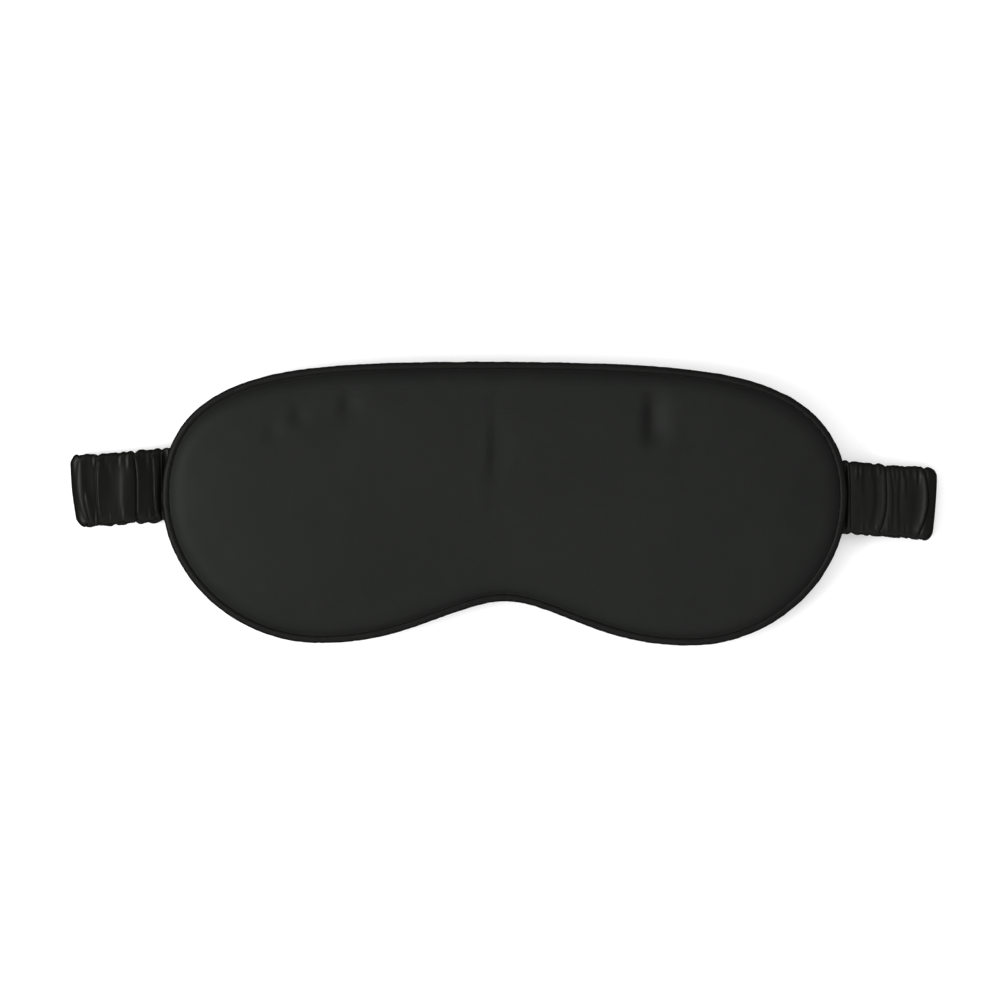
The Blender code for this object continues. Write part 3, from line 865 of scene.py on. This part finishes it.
# ================================================================================
# strap surface
# ================================================================================
def strap_line_y(word, side, run):
    """y of the centre line: level behind, then slanting to where the tab meets the seam."""
    tab_y = STRAP[word].tab_y
    fold_y = strap_y_low(side * TURN_X)
    low_y = strap_y_low(side * run)
    under = np.clip((TURN_X - run) / (TURN_X - TAB_END_X), 0, 1)
    over = fold_y + (tab_y - fold_y) * under**1.15
    low_y = low_y + (over - low_y) * ease(run, 72.0, 108.0) * 0.9
    fold_run = math.pi * TURN_R / 2
    back = np.clip((run - TURN_START - fold_run) / (RUN_END - TURN_START - fold_run), 0, 1)
    return np.where(run < TURN_START, low_y, fold_y + (tab_y - fold_y) * back**1.15)


def strap_master(word, side):
    """The half strap as grids of points: columns along it, rows round its section."""
    run = np.concatenate([
        np.arange(0.0, 88.0, 0.40), np.arange(88.0, 120.0, 0.33),
        np.arange(120.0, RUN_END, 0.22), [RUN_END],
    ])
    x, z, along_x, along_z = strap_path(run)
    out_x, out_z = along_z, -along_x                   # outer side of the fold
    section = strap_section()
    along, across = np.meshgrid(run, section[:, 0], indexing="ij")
    face = np.meshgrid(run, section[:, 1], indexing="ij")[1]
    bulge = np.meshgrid(run, section[:, 2], indexing="ij")[1]
    far = (1 - face) / 2                               # 0 on the outer face, 1 on the inner one
    at_fold = ease(along, TURN_START - 15.0, TURN_START - 10.0)
    at_fold = at_fold * (1 - ease(along, TURN_END + 10.0, TURN_END + 15.0)) * far
    grid = SimpleNamespace(
        run=run, along=along, across=across, far=far, at_fold=at_fold,
        fade_end=1 - 0.75 * ease(along, RUN_END - 4.2, RUN_END - 1.2),
        calm=1 - STRAP[word].calming * ease(along, TURN_END - 1, TURN_END + 4),
    )
    # moves out of the face, out of the edge, and along the strap
    relief = SimpleNamespace(**{key: np.zeros_like(along) for key in ("face", "edge", "drag")})
    add_tucks(word, grid, relief)
    add_surface_noise(word, grid, relief)
    add_edge_gathers(word, grid, relief)
    face_relief = limit_face_relief(grid, relief.face)

    half = strap_half_thickness(run)[:, None]
    edge = ease(np.abs(across), 0.86, 1.0)
    crown = (0.22 + 0.34 * (1 - far)) * (1 - across**2) * grid.fade_end * (1 - 0.8 * at_fold)
    out = face * (half + crown * (1 - bulge)) + face * face_relief * (1 - edge * 0.6)
    # the section never folds through itself
    least = face * half * 0.55
    out = np.where(face > 0, np.maximum(out, least), np.minimum(out, least))
    sideways = np.sign(across) * (
        np.abs(across) * (HALF_W - half) + bulge * half
        + (0.6 * edge + 0.4 * bulge) * relief.edge
    )

    line_y = strap_line_y(word, side, run)
    slant = STRAP[word].slant * bell(run, TURN_MID, 7.5)
    corner = bell(run, TURN_MID, 3.6)[:, None]
    corner = corner * ease(np.abs(sideways), HALF_W * 0.80, HALF_W * 1.10)
    drag = relief.drag * (1 - far)
    outer_x = (
        x[:, None] + out_x[:, None] * out + along_x[:, None] * drag
        + slant[:, None] * (sideways / HALF_W) - 1.1 * corner
    )
    outer_z = z[:, None] + out_z[:, None] * out + along_z[:, None] * drag
    outer_z = np.maximum(outer_z, 0.03)                # stays on the floor
    outer = np.stack([side * outer_x, line_y[:, None] + sideways, outer_z], 2)

    # plain inner wall
    wall_w, wall_t = HALF_W - 1.15, np.minimum(half * 0.46, 0.55)
    out = face * wall_t
    sideways = np.sign(across) * (np.abs(across) * (wall_w - wall_t) + bulge * wall_t)
    inner_x = x[:, None] + out_x[:, None] * out + slant[:, None] * (sideways / HALF_W)
    inner_z = z[:, None] + out_z[:, None] * out
    inner = np.stack([side * inner_x, line_y[:, None] + sideways, inner_z], 2)

    place_across = section[:, 0] * HALF_W + np.sign(section[:, 0]) * section[:, 2] * HALF_T
    steps = np.diff(np.stack([place_across, section[:, 1] * HALF_T], 1), axis=0)
    return SimpleNamespace(
        run=run, outer=outer, inner=inner, normals=grid_normals(outer, side),
        girth=np.concatenate([[0], np.cumsum(np.hypot(*steps.T))]),
        x=x, y=line_y, z=z, out_x=out_x, out_z=out_z, slant=slant,
    )


def grid_normals(points, side):
    """Vertex normals of a grid closed in its second direction."""
    along = np.gradient(points, axis=0)
    around = np.roll(points, -1, 1) - np.roll(points, 1, 1)
    normal = np.cross(along, around) * -side
    return normal / np.maximum(np.linalg.norm(normal, axis=2), 1e-12)[:, :, None]


def signed_volume(verts, quads):
    """Positive multiple of the volume if the quads face outwards."""
    quads = np.array(quads)
    total = 0.0
    for i, j, k in ((0, 1, 2), (0, 2, 3)):
        normal = np.cross(verts[quads[:, j]], verts[quads[:, k]])
        total += np.einsum("ij,ij->i", verts[quads[:, i]], normal).sum()
    return total


def column_range(run, start, end):
    first, last = np.searchsorted(run, (start - 1e-6, end - 1e-6))
    return first, min(last, len(run) - 1)


def every(step, first, last):
    """Every step-th column, and always the last."""
    return sorted({*range(first, last, step), last})


def strap_piece(name, master, side, start, end, mat):
    """One length of the sleeve, cut from the master grid, with real thickness and closed ends."""
    first, last = column_range(master.run, start, end)
    keep = every(5, first, last)
    outer, inner = master.outer[first:last + 1], master.inner[keep]
    rows, around = outer.shape[:2]
    verts = np.concatenate([outer.reshape(-1, 3), inner.reshape(-1, 3)])
    offset = rows * around
    last_outer, last_inner = offset - around, len(verts) - around
    faces = tube_faces(rows, around)
    faces += [
        (offset + a, offset + d, offset + c, offset + b)
        for a, b, c, d in tube_faces(len(keep), around)
    ]
    caps = len(faces)
    for j in range(around):
        k = (j + 1) % around
        faces.append((j, offset + j, offset + k, k))
        faces.append((last_outer + j, last_outer + k, last_inner + k, last_inner + j))
    if side < 0:
        faces = [face[::-1] for face in faces]
    uv = np.concatenate([
        np.stack([np.repeat(run, around), np.tile(master.girth, len(run))], 1)
        for run in (master.run[first:last + 1], master.run[keep])
    ])
    ob = make_object(name, verts, faces, mat, uv=uv, flat_from=caps)
    mesh = ob.data
    if signed_volume(verts, faces) < 0:
        mesh.flip_normals()

    # the four loops at the cut ends are sharp
    end_loop = np.zeros(len(verts), int)
    for number, base in enumerate((0, last_outer, offset, last_inner), 1):
        end_loop[base:base + around] = number
    pairs = np.empty(len(mesh.edges) * 2, np.int32)
    mesh.edges.foreach_get("vertices", pairs)
    one, other = end_loop[pairs.reshape(-1, 2)].T
    mesh.edges.foreach_set("use_edge_sharp", (one > 0) & (one == other))

    # the master's normals on the outer face, so that the cuts don't show; zero leaves the rest
    index = corner_vertices(mesh)
    on_outer = (index < offset) & (np.arange(len(index)) // 4 < caps)
    custom = np.zeros((len(index), 3))
    normals = master.normals[first:last + 1].reshape(-1, 3)
    custom[on_outer] = normals[index[on_outer]]
    mesh.normals_split_custom_set(custom.tolist())
    return ob


# ---- elastic -------------------------------------------------------------------------
def flat_band(name, run, line, half_width, layer, mat):
    """A closed flat band; layer(sign, line) gives the x, y, z of its two faces' points."""
    grid = np.concatenate([
        np.stack(np.broadcast_arrays(*layer(sign, place)), 2)
        for sign, place in ((1, line), (-1, line[::-1]))
    ], 1)
    rows, around = grid.shape[:2]
    faces = tube_faces(rows, around)
    for base in (0, (rows - 1) * around):
        for j in range(around // 2 - 1):
            faces.append((base + j, base + j + 1, base + around - 2 - j, base + around - 1 - j))
    girth = np.concatenate([line, line[::-1] + 3]) * half_width
    uv = np.stack([np.repeat(run, around), np.tile(girth, rows)], 1)
    ob = make_object(name, grid.reshape(-1, 3), faces, mat, uv=uv)
    face_outwards(ob)
    return ob


def elastic_piece(name, master, side, start, end, mat):
    """One length of the elastic inside: a flat band, thinner at its selvedges."""
    chosen = every(2, *column_range(master.run, start, end))
    run = master.run[chosen]
    x, y, z, out_x, out_z, slant = (
        getattr(master, key)[chosen][:, None] for key in ("x", "y", "z", "out_x", "out_z", "slant")
    )
    half = np.minimum(strap_half_thickness(run)[:, None] * 0.40, 0.48)
    half_width = HALF_W - 1.95

    def layer(sign, line):
        out = sign * half * (1 - 0.5 * np.abs(line) ** 16)
        layer_x = x + out_x * out + slant * line * half_width / HALF_W
        return side * layer_x, y + line * half_width, z + out_z * out

    return flat_band(name, run, np.linspace(-1, 1, 25), half_width, layer, mat)


def elastic_tail(name, word, side, mat):
    """The bare elastic sewn into the seam."""
    x = np.linspace(104.6, 100.6, 9)
    z = np.interp(x, [100.6, 104.6], [8.05, 7.85])[:, None]
    half_width, half_thickness = 8.6, 0.22

    def layer(sign, line):
        out = sign * half_thickness * (1 - 0.4 * np.abs(line) ** 8)
        return side * x[:, None], STRAP[word].tab_y + line * half_width, z + out

    return flat_band(name, x, np.linspace(-1, 1, 15), half_width, layer, mat)


# ================================================================================
# shader helpers
# ================================================================================
def set_inputs(tree, node, inputs):
    """Sets a node's inputs: sockets are linked, anything else is a value."""
    for key, value in inputs.items():
        if isinstance(value, bpy.types.NodeSocket):
            tree.links.new(value, node.inputs[key])
        else:
            node.inputs[key].default_value = value


def add(tree, kind, inputs=None, **settings):
    node = tree.nodes.new(kind)
    for key, value in settings.items():
        setattr(node, key, value)
    set_inputs(tree, node, inputs or {})
    return node


def new_material(name):
    mat = bpy.data.materials.new(name)
    mat.use_nodes = True
    return mat, mat.node_tree, mat.node_tree.nodes["Principled BSDF"]


def uv_mm(tree):
    return add(tree, "ShaderNodeUVMap", uv_map="UVMap").outputs["UV"]


def mapping(tree, vector, scale=(1, 1, 1), turn=0.0):
    inputs = {"Vector": vector, "Scale": scale, "Rotation": (0, 0, turn)}
    return add(tree, "ShaderNodeMapping", inputs).outputs["Vector"]


def noise_tex(tree, vector, scale, detail, roughness):
    inputs = {"Vector": vector, "Scale": scale, "Detail": detail, "Roughness": roughness}
    return add(tree, "ShaderNodeTexNoise", inputs).outputs["Fac"]


def remap(tree, value, source, target):
    inputs = {
        "Value": value, "From Min": source[0], "From Max": source[1],
        "To Min": target[0], "To Max": target[1],
    }
    return add(tree, "ShaderNodeMapRange", inputs).outputs["Result"]


def math_node(tree, operation, first, second=0.0):
    return add(tree, "ShaderNodeMath", {0: first, 1: second}, operation=operation).outputs[0]


def weighted_sum(tree, *terms):
    """Sum of (socket, weight) pairs."""
    scaled = [math_node(tree, "MULTIPLY", socket, weight) for socket, weight in terms]
    total = scaled[0]
    for term in scaled[1:]:
        total = math_node(tree, "ADD", total, term)
    return total


def mix_colour(tree, factor, first, second):
    """Mixes two colours, each a socket or an RGB tuple.  6 and 7 are the colour inputs."""
    first, second = (
        (*colour, 1.0) if isinstance(colour, tuple) else colour for colour in (first, second)
    )
    inputs = {0: factor, 6: first, 7: second}
    return add(tree, "ShaderNodeMix", inputs, data_type="RGBA").outputs[2]


def wave(tree, vector, scale, direction, distortion):
    inputs = {"Vector": vector, "Scale": scale, "Distortion": distortion, "Detail": 1.0}
    node = add(tree, "ShaderNodeTexWave", inputs, bands_direction=direction)
    return node.outputs["Fac"]


def stripe_scale(width):
    """Wave scale at which the light and the dark stripes are each about this wide, in mm."""
    return 1.0 / width / 3.1416 * 0.5


def bump(tree, height, strength, distance, before=None):
    """distance is in metres."""
    inputs = {"Strength": strength, "Distance": distance, "Height": height}
    if before is not None:
        inputs["Normal"] = before
    return add(tree, "ShaderNodeBump", inputs).outputs["Normal"]


# ================================================================================
# materials; their UV maps are in millimetres
# ================================================================================
def satin(name, dark, light, rough, spec, turn=0.0, edge=(0.30, 0.92), rim=0.0, thread=0.10):
    """Filament satin: long floats in one direction over a fine crossing thread.

    turn: of the weave; edge: facing range over which the highlight dies away;
    rim: painted shade, the base colour darkened at grazing angles towards the silhouette; thread:
    strength of the weave's relief.
    """
    mat, tree, bsdf = new_material(name)
    turned = mapping(tree, uv_mm(tree), turn=turn)
    broad = noise_tex(tree, turned, scale=0.035, detail=3.0, roughness=0.55)
    middle = noise_tex(tree, turned, scale=0.22, detail=3.0, roughness=0.6)
    stretched = mapping(tree, turned, scale=(3.2, 0.10, 1))
    streak = noise_tex(tree, stretched, scale=1.0, detail=2.0, roughness=0.6)
    tone = weighted_sum(tree, (broad, 0.55), (middle, 0.25), (streak, 0.20))
    mottle = remap(tree, tone, source=(0.5 - 0.17, 0.5 + 0.17), target=(0.0, 1.0))
    body = mix_colour(tree, mottle, dark, light)
    facing = add(tree, "ShaderNodeLayerWeight", {"Blend": 0.5}).outputs["Facing"]
    # painted shade: at grazing angles the base colour is mixed towards a quarter of the dark tone,
    # standing in for the shade on rolled edges
    painted_shade_share = remap(tree, facing, source=(0.45, 0.90), target=(0.0, rim))
    painted_edge_shade = tuple(0.25 * channel for channel in dark)
    # 0.16 mm stripes one way, crossed by 0.42 mm ones
    threads = wave(tree, turned, scale=stripe_scale(0.16), direction="X", distortion=0.25)
    cross = wave(tree, turned, scale=stripe_scale(0.42), direction="Y", distortion=0.5)
    weave = weighted_sum(tree, (threads, 0.65), (cross, 0.35))
    woven = bump(tree, weave, strength=thread, distance=0.00008)
    tangent = add(tree, "ShaderNodeTangent", direction_type="UV_MAP", uv_map="UVMap")
    set_inputs(tree, bsdf, {
        "Base Color": mix_colour(tree, painted_shade_share, body, painted_edge_shade),
        "Roughness": remap(tree, tone, source=(0.3, 0.7), target=(rough - 0.03, rough + 0.04)),
        "Specular IOR Level": remap(tree, facing, source=edge, target=(spec, spec * 0.05)),
        "Sheen Weight": 0.0,            # off; raise it to use the next two
        "Sheen Roughness": 0.45,
        "Sheen Tint": (0.80, 0.86, 0.82, 1.0),
        "Anisotropic": 0.35,
        "Tangent": tangent.outputs["Tangent"],
        "Normal": bump(tree, middle, strength=0.10, distance=0.0004, before=woven),
    })
    return mat


def blackout_cloth(name):
    mat, tree, bsdf = new_material(name)
    uv = uv_mm(tree)
    weave_scale = 1.6
    tone = noise_tex(tree, uv, scale=weave_scale * 0.12, detail=4.0, roughness=0.6)
    mottle = remap(tree, tone, source=(0.3, 0.7), target=(0, 1))
    warp = wave(tree, uv, weave_scale, direction="X", distortion=0.4)
    weft = wave(tree, uv, weave_scale, direction="Y", distortion=0.4)
    weave = math_node(tree, "MULTIPLY", warp, weft)
    set_inputs(tree, bsdf, {
        "Base Color": mix_colour(tree, mottle, (0.004, 0.004, 0.0045), (0.007, 0.007, 0.008)),
        "Roughness": 0.85,
        "Sheen Weight": 0.2,
        "Normal": bump(tree, weave, strength=0.3, distance=0.0001),
    })
    return mat


def wadding_fibre(name):
    mat, tree, bsdf = new_material(name)
    drawn = mapping(tree, uv_mm(tree), scale=(0.6, 2.2, 1), turn=0.6)
    tone = noise_tex(tree, drawn, scale=0.8, detail=6.0, roughness=0.7)
    set_inputs(tree, bsdf, {
        "Base Color": mix_colour(tree, tone, (0.70, 0.69, 0.66), (0.88, 0.87, 0.84)),
        "Roughness": 0.9,
        "Subsurface Weight": 0.15,
        "Subsurface Radius": (0.002, 0.002, 0.002),
        "Sheen Weight": 0.3,
        "Normal": bump(tree, tone, strength=0.6, distance=0.0004),
    })
    return mat


def ribbed_elastic(name):
    mat, tree, bsdf = new_material(name)
    uv = uv_mm(tree)
    ribs = wave(tree, uv, scale=stripe_scale(1.1), direction="Y", distortion=0.0)
    picks = wave(tree, uv, scale=stripe_scale(0.7), direction="X", distortion=0.6)
    weave = weighted_sum(tree, (ribs, 0.6), (picks, 0.4))
    set_inputs(tree, bsdf, {
        "Base Color": mix_colour(tree, weave, (0.006, 0.006, 0.006), (0.02, 0.02, 0.02)),
        "Roughness": 0.75,
        "Normal": bump(tree, weave, strength=0.5, distance=0.0002),
    })
    return mat


def twisted_yarn(name, dark, light, stripe):
    mat, tree, bsdf = new_material(name)
    slanted = mapping(tree, uv_mm(tree), turn=0.7)
    twist = wave(tree, slanted, scale=stripe_scale(stripe), direction="X", distortion=0.8)
    set_inputs(tree, bsdf, {
        "Base Color": mix_colour(tree, twist, dark, light),
        "Roughness": 0.8,
        "Normal": bump(tree, twist, strength=0.5, distance=0.0001),
    })
    return mat


COVER_SATIN = dict(
    dark=(0.0071, 0.0080, 0.0072), light=(0.0093, 0.0103, 0.0091), rough=0.52, spec=0.15
)
face_mat = satin("satin_face", **COVER_SATIN)
back_mat = satin("satin_back", **COVER_SATIN)
# rim paints shade on the strap's rolled edges
strap_mat = satin(
    "satin_strap", dark=(0.0025, 0.0025, 0.0020), light=(0.0036, 0.0036, 0.0029),
    rough=0.29, spec=0.21, turn=1.5708, edge=(0.12, 0.50), rim=0.8, thread=0.03,
)
# the covers' satin with a darker base colour, painted shade of the narrow roll; rim paints shade on
# its outer edge
pipe_mat = satin(
    "satin_piping", dark=(0.0040, 0.0042, 0.0038), light=(0.0058, 0.0060, 0.0054),
    rough=0.42, spec=0.15, turn=0.7854, edge=(0.10, 0.50), rim=0.8,
)
liner_mat = blackout_cloth("blackout_cloth")
wadding_mat = wadding_fibre("wadding_fibre")
elastic_mat = ribbed_elastic("woven_elastic")
cord_mat = twisted_yarn(
    "cotton_cord", dark=(0.55, 0.52, 0.46), light=(0.80, 0.77, 0.70), stripe=0.9
)
thread_mat = twisted_yarn(
    "sewing_thread", dark=(0.008, 0.008, 0.008), light=(0.02, 0.02, 0.02), stripe=0.25
)


# ================================================================================
# build the pad
# ================================================================================
def bends_with_mask(ob, node):
    """Bakes the piece's placement into its mesh and hides the frame parts it stands for on both
    halves.
    """
    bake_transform(ob)
    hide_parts(node + "_left", node + "_right")


def liner_height(flat, depth):
    return front_height(flat, depth) - 0.50


def round_section(radius, step=1):
    """Every step-th of 18 points round a circle."""
    angles = np.linspace(0, 2 * math.pi, 19)[:-1][::step]
    return [(radius * math.cos(angle), radius * math.sin(angle)) for angle in angles]


simulate_filling()
front = panel("front_panel", RIM_START, front_height, thickness=0.32, up=1, mat=face_mat)
bends_with_mask(front, "front_cover")

back = panel("back_panel", RIM_START, back_height, thickness=0.32, up=-1, mat=back_mat)
bends_with_mask(back, "back_cover")

liner = panel(
    "blackout_sheet", 4.2, liner_height, thickness=0.25, up=1, mat=liner_mat,
    fine=(40, 240), coarse=(20, 120),
)
bends_with_mask(liner, "blackout_liner")

filling = pad_filling("wadding_core", wadding_mat)
bends_with_mask(filling, "padding")

piping = swept_loop("piping_roll", piping_section(), pipe_mat, inset=PIPE_R, shape=piping_shape)
bends_with_mask(piping, "piping_cover")

cord = swept_loop(
    "piping_core_cord", round_section(0.85), cord_mat, inset=PIPE_R, shape=cord_shape
)
bends_with_mask(cord, "piping_cord")

stitches = swept_loop(
    "seam_stitching", round_section(0.16, step=3), thread_mat, inset=3.75, shape=thread_shape
)
bends_with_mask(stitches, "seam_thread")


# ================================================================================
# build the strap
# ================================================================================
def place(side, x, z=0.0):
    return (side * x * MM, 0.0, z * MM)


def strap_plan(word, side):
    """Lengths of the half strap: name, start and end along it, two bodies (None sews it to the pad),
    the places where a blend would start and end (not read), and the frame parts it stands for."""
    centre, rear, flank, stretch = (
        "strap_centre", "strap_rear_" + word, "strap_side_" + word, "strap_stretch_" + word
    )
    outer, inner = "tab_outer_" + word, "tab_inner_" + word
    middle = ("centre",) if word == "left" else ()

    def zone(start, end):
        return place(side, start), place(side, end)

    through_fold = place(side, 0, 2.90), place(side, 0, 4.44)
    high, seam = top_run(CUT_HIGH), top_run(PIVOT_X)
    return (
        ("rear", 0.0, CUT_REAR, (centre, rear), zone(16.0, 34.0), ("rear_" + word, *middle)),
        ("flank", CUT_REAR, CUT_SIDE, (rear, flank), zone(67.0, 83.0), ("side_" + word,)),
        ("long", CUT_SIDE, CUT_LOW, (flank, stretch), zone(89.0, CUT_LOW - 0.5),
         ("stretch_" + word,)),
        ("fold", CUT_LOW, high, (stretch, outer), through_fold, ("tab_outer_" + word,)),
        ("tab", high, seam, (outer, inner), zone(CUT_HIGH - 0.5, 106.5), ("tab_inner_" + word,)),
        # sewn into the seam, so it goes with the pad
        ("hem", seam, RUN_END, None, None, ()),
    )


def build_strap(word, side):
    master = strap_master(word, side)
    layers = (
        ("sleeve", "cloth", strap_piece, strap_mat, "satin_strap"),
        ("elastic", "band", elastic_piece, elastic_mat, "elastic"),
    )
    for part, start, end, bodies, zone, stands_for in strap_plan(word, side):
        for kind, ending, build, mat, slot in layers:
            ob = build(f"{kind}_{part}_{word}_{ending}", master, side, start, end, mat)
            if bodies is None:
                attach(ob, "mask_" + word)
            else:
                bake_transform(ob)
            if stands_for:
                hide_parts(*[f"{kind}_{node}" for node in stands_for])
    tail = elastic_tail(f"elastic_tail_{word}", word, side, elastic_mat)
    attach(tail, "mask_" + word)
    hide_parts("elastic_end_" + word)


for word, side in SIDES:
    build_strap(word, side)


# ================================================================================
# stage
# ================================================================================
def floor_material():
    """Pale paper that only the camera sees, and only from above."""
    mat, tree, bsdf = new_material("paper_floor")
    set_inputs(tree, bsdf, {
        "Base Color": (0.82, 0.82, 0.82, 1),
        "Roughness": 0.9,
        "Specular IOR Level": 0.1,
        "Emission Color": (1, 1, 1, 1),
        "Emission Strength": 0.25,
    })
    backfacing = add(tree, "ShaderNodeNewGeometry").outputs["Backfacing"]
    camera_ray = add(tree, "ShaderNodeLightPath").outputs["Is Camera Ray"]
    unseen = math_node(tree, "SUBTRACT", 1.0, camera_ray)
    mixer = add(tree, "ShaderNodeMixShader", {
        0: math_node(tree, "MAXIMUM", backfacing, unseen),
        1: bsdf.outputs[0],
        2: add(tree, "ShaderNodeBsdfTransparent").outputs[0],
    })
    tree.links.new(mixer.outputs[0], tree.nodes["Material Output"].inputs["Surface"])
    return mat


def build_floor():
    reach = 6                   # metres each way
    corners = [(-reach, -reach, 0), (reach, -reach, 0), (reach, reach, 0), (-reach, reach, 0)]
    mesh = bpy.data.meshes.new("floor")
    mesh.from_pydata(corners, [], [(0, 1, 2, 3)])
    floor = bpy.data.objects.new("floor", mesh)
    bpy.context.scene.collection.objects.link(floor)
    mesh.materials.append(floor_material())


# soft round glows of the sky: direction, tightness, strength
GLOWS = (
    ((-0.72, 0.06, 0.69), 12.0, 4.30),      # high on the left
    ((0.88, 0.05, 0.42), 10.0, 0.22),       # low on the right
    ((0.00, 0.20, 0.97), 2.2, 0.15),        # overhead
    ((0.12, -0.75, 0.65), 6.0, 0.80),       # from -y
    ((0.0, 0.0, -1.0), 1.8, 0.50),          # below
)
GLOW_BASE = 0.06
EVEN_SKY = 0.95


def softbox(tree, direction, tightness, strength, toward):
    dot = add(
        tree, "ShaderNodeVectorMath", {0: direction, 1: Vector(toward).normalized()},
        operation="DOT_PRODUCT",
    )
    off = math_node(tree, "SUBTRACT", dot.outputs["Value"], 1.0)
    power = math_node(tree, "MULTIPLY", off, tightness)
    return math_node(tree, "MULTIPLY", math_node(tree, "EXPONENT", power), strength)


def build_world():
    """Glossy rays see the glows; all other rays see an even sky."""
    world = bpy.data.worlds.new("studio")
    bpy.context.scene.world = world
    world.use_nodes = True
    tree = world.node_tree
    direction = add(tree, "ShaderNodeTexCoord").outputs["Generated"]
    boxes = [
        softbox(tree, direction, tightness, strength, toward)
        for toward, tightness, strength in GLOWS
    ]
    glow = boxes[0]
    for box in boxes[1:] + [GLOW_BASE]:
        glow = math_node(tree, "ADD", glow, box)
    glossy = add(tree, "ShaderNodeLightPath").outputs["Is Glossy Ray"]
    pick = add(tree, "ShaderNodeMix", {0: glossy, 2: EVEN_SKY, 3: glow}, data_type="FLOAT")
    set_inputs(tree, tree.nodes["Background"], {
        "Color": (1, 1, 1, 1), "Strength": pick.outputs[0],
    })


def area_light(name, location, size, energy):
    """A square light aimed at the origin, not seen in reflections; metres and watts."""
    data = bpy.data.lights.new(name, "AREA")
    data.shape = "RECTANGLE"
    data.size = data.size_y = size
    data.energy = energy
    ob = bpy.data.objects.new(name, data)
    ob.location = location
    ob.rotation_mode = "QUATERNION"
    ob.rotation_quaternion = (-Vector(location)).to_track_quat("-Z", "Y")
    bpy.context.scene.collection.objects.link(ob)
    ob.visible_glossy = False


def build_camera():
    """Looks straight down."""
    height = 1.2                # metres above the floor
    view_width = 0.3134         # metres seen across, at focus_z
    focus_z = 0.009
    sensor = 36.0
    data = bpy.data.cameras.new("camera")
    camera = bpy.data.objects.new("camera", data)
    data.sensor_width = sensor
    data.lens = sensor * (height - focus_z) / view_width
    data.clip_start, data.clip_end = 0.05, 20
    camera.location = (-0.00142, 0.00097, height)
    camera.rotation_euler = (0, 0, math.radians(0.4))
    bpy.context.scene.collection.objects.link(camera)
    bpy.context.scene.camera = camera


build_floor()
build_world()
area_light("key_soft", location=(-0.78, -0.26, 0.60), size=0.50, energy=8.5)
area_light("fill_below", location=(-0.5, -0.4, -1.3), size=1.2, energy=7.0)
area_light("fill_high", location=(0.1, 1.0, 1.6), size=1.4, energy=7.5)
build_camera()

view = bpy.context.scene.view_settings
view.view_transform = "Standard"
view.look = "None"
view.exposure = 0.0
view.gamma = 1.0
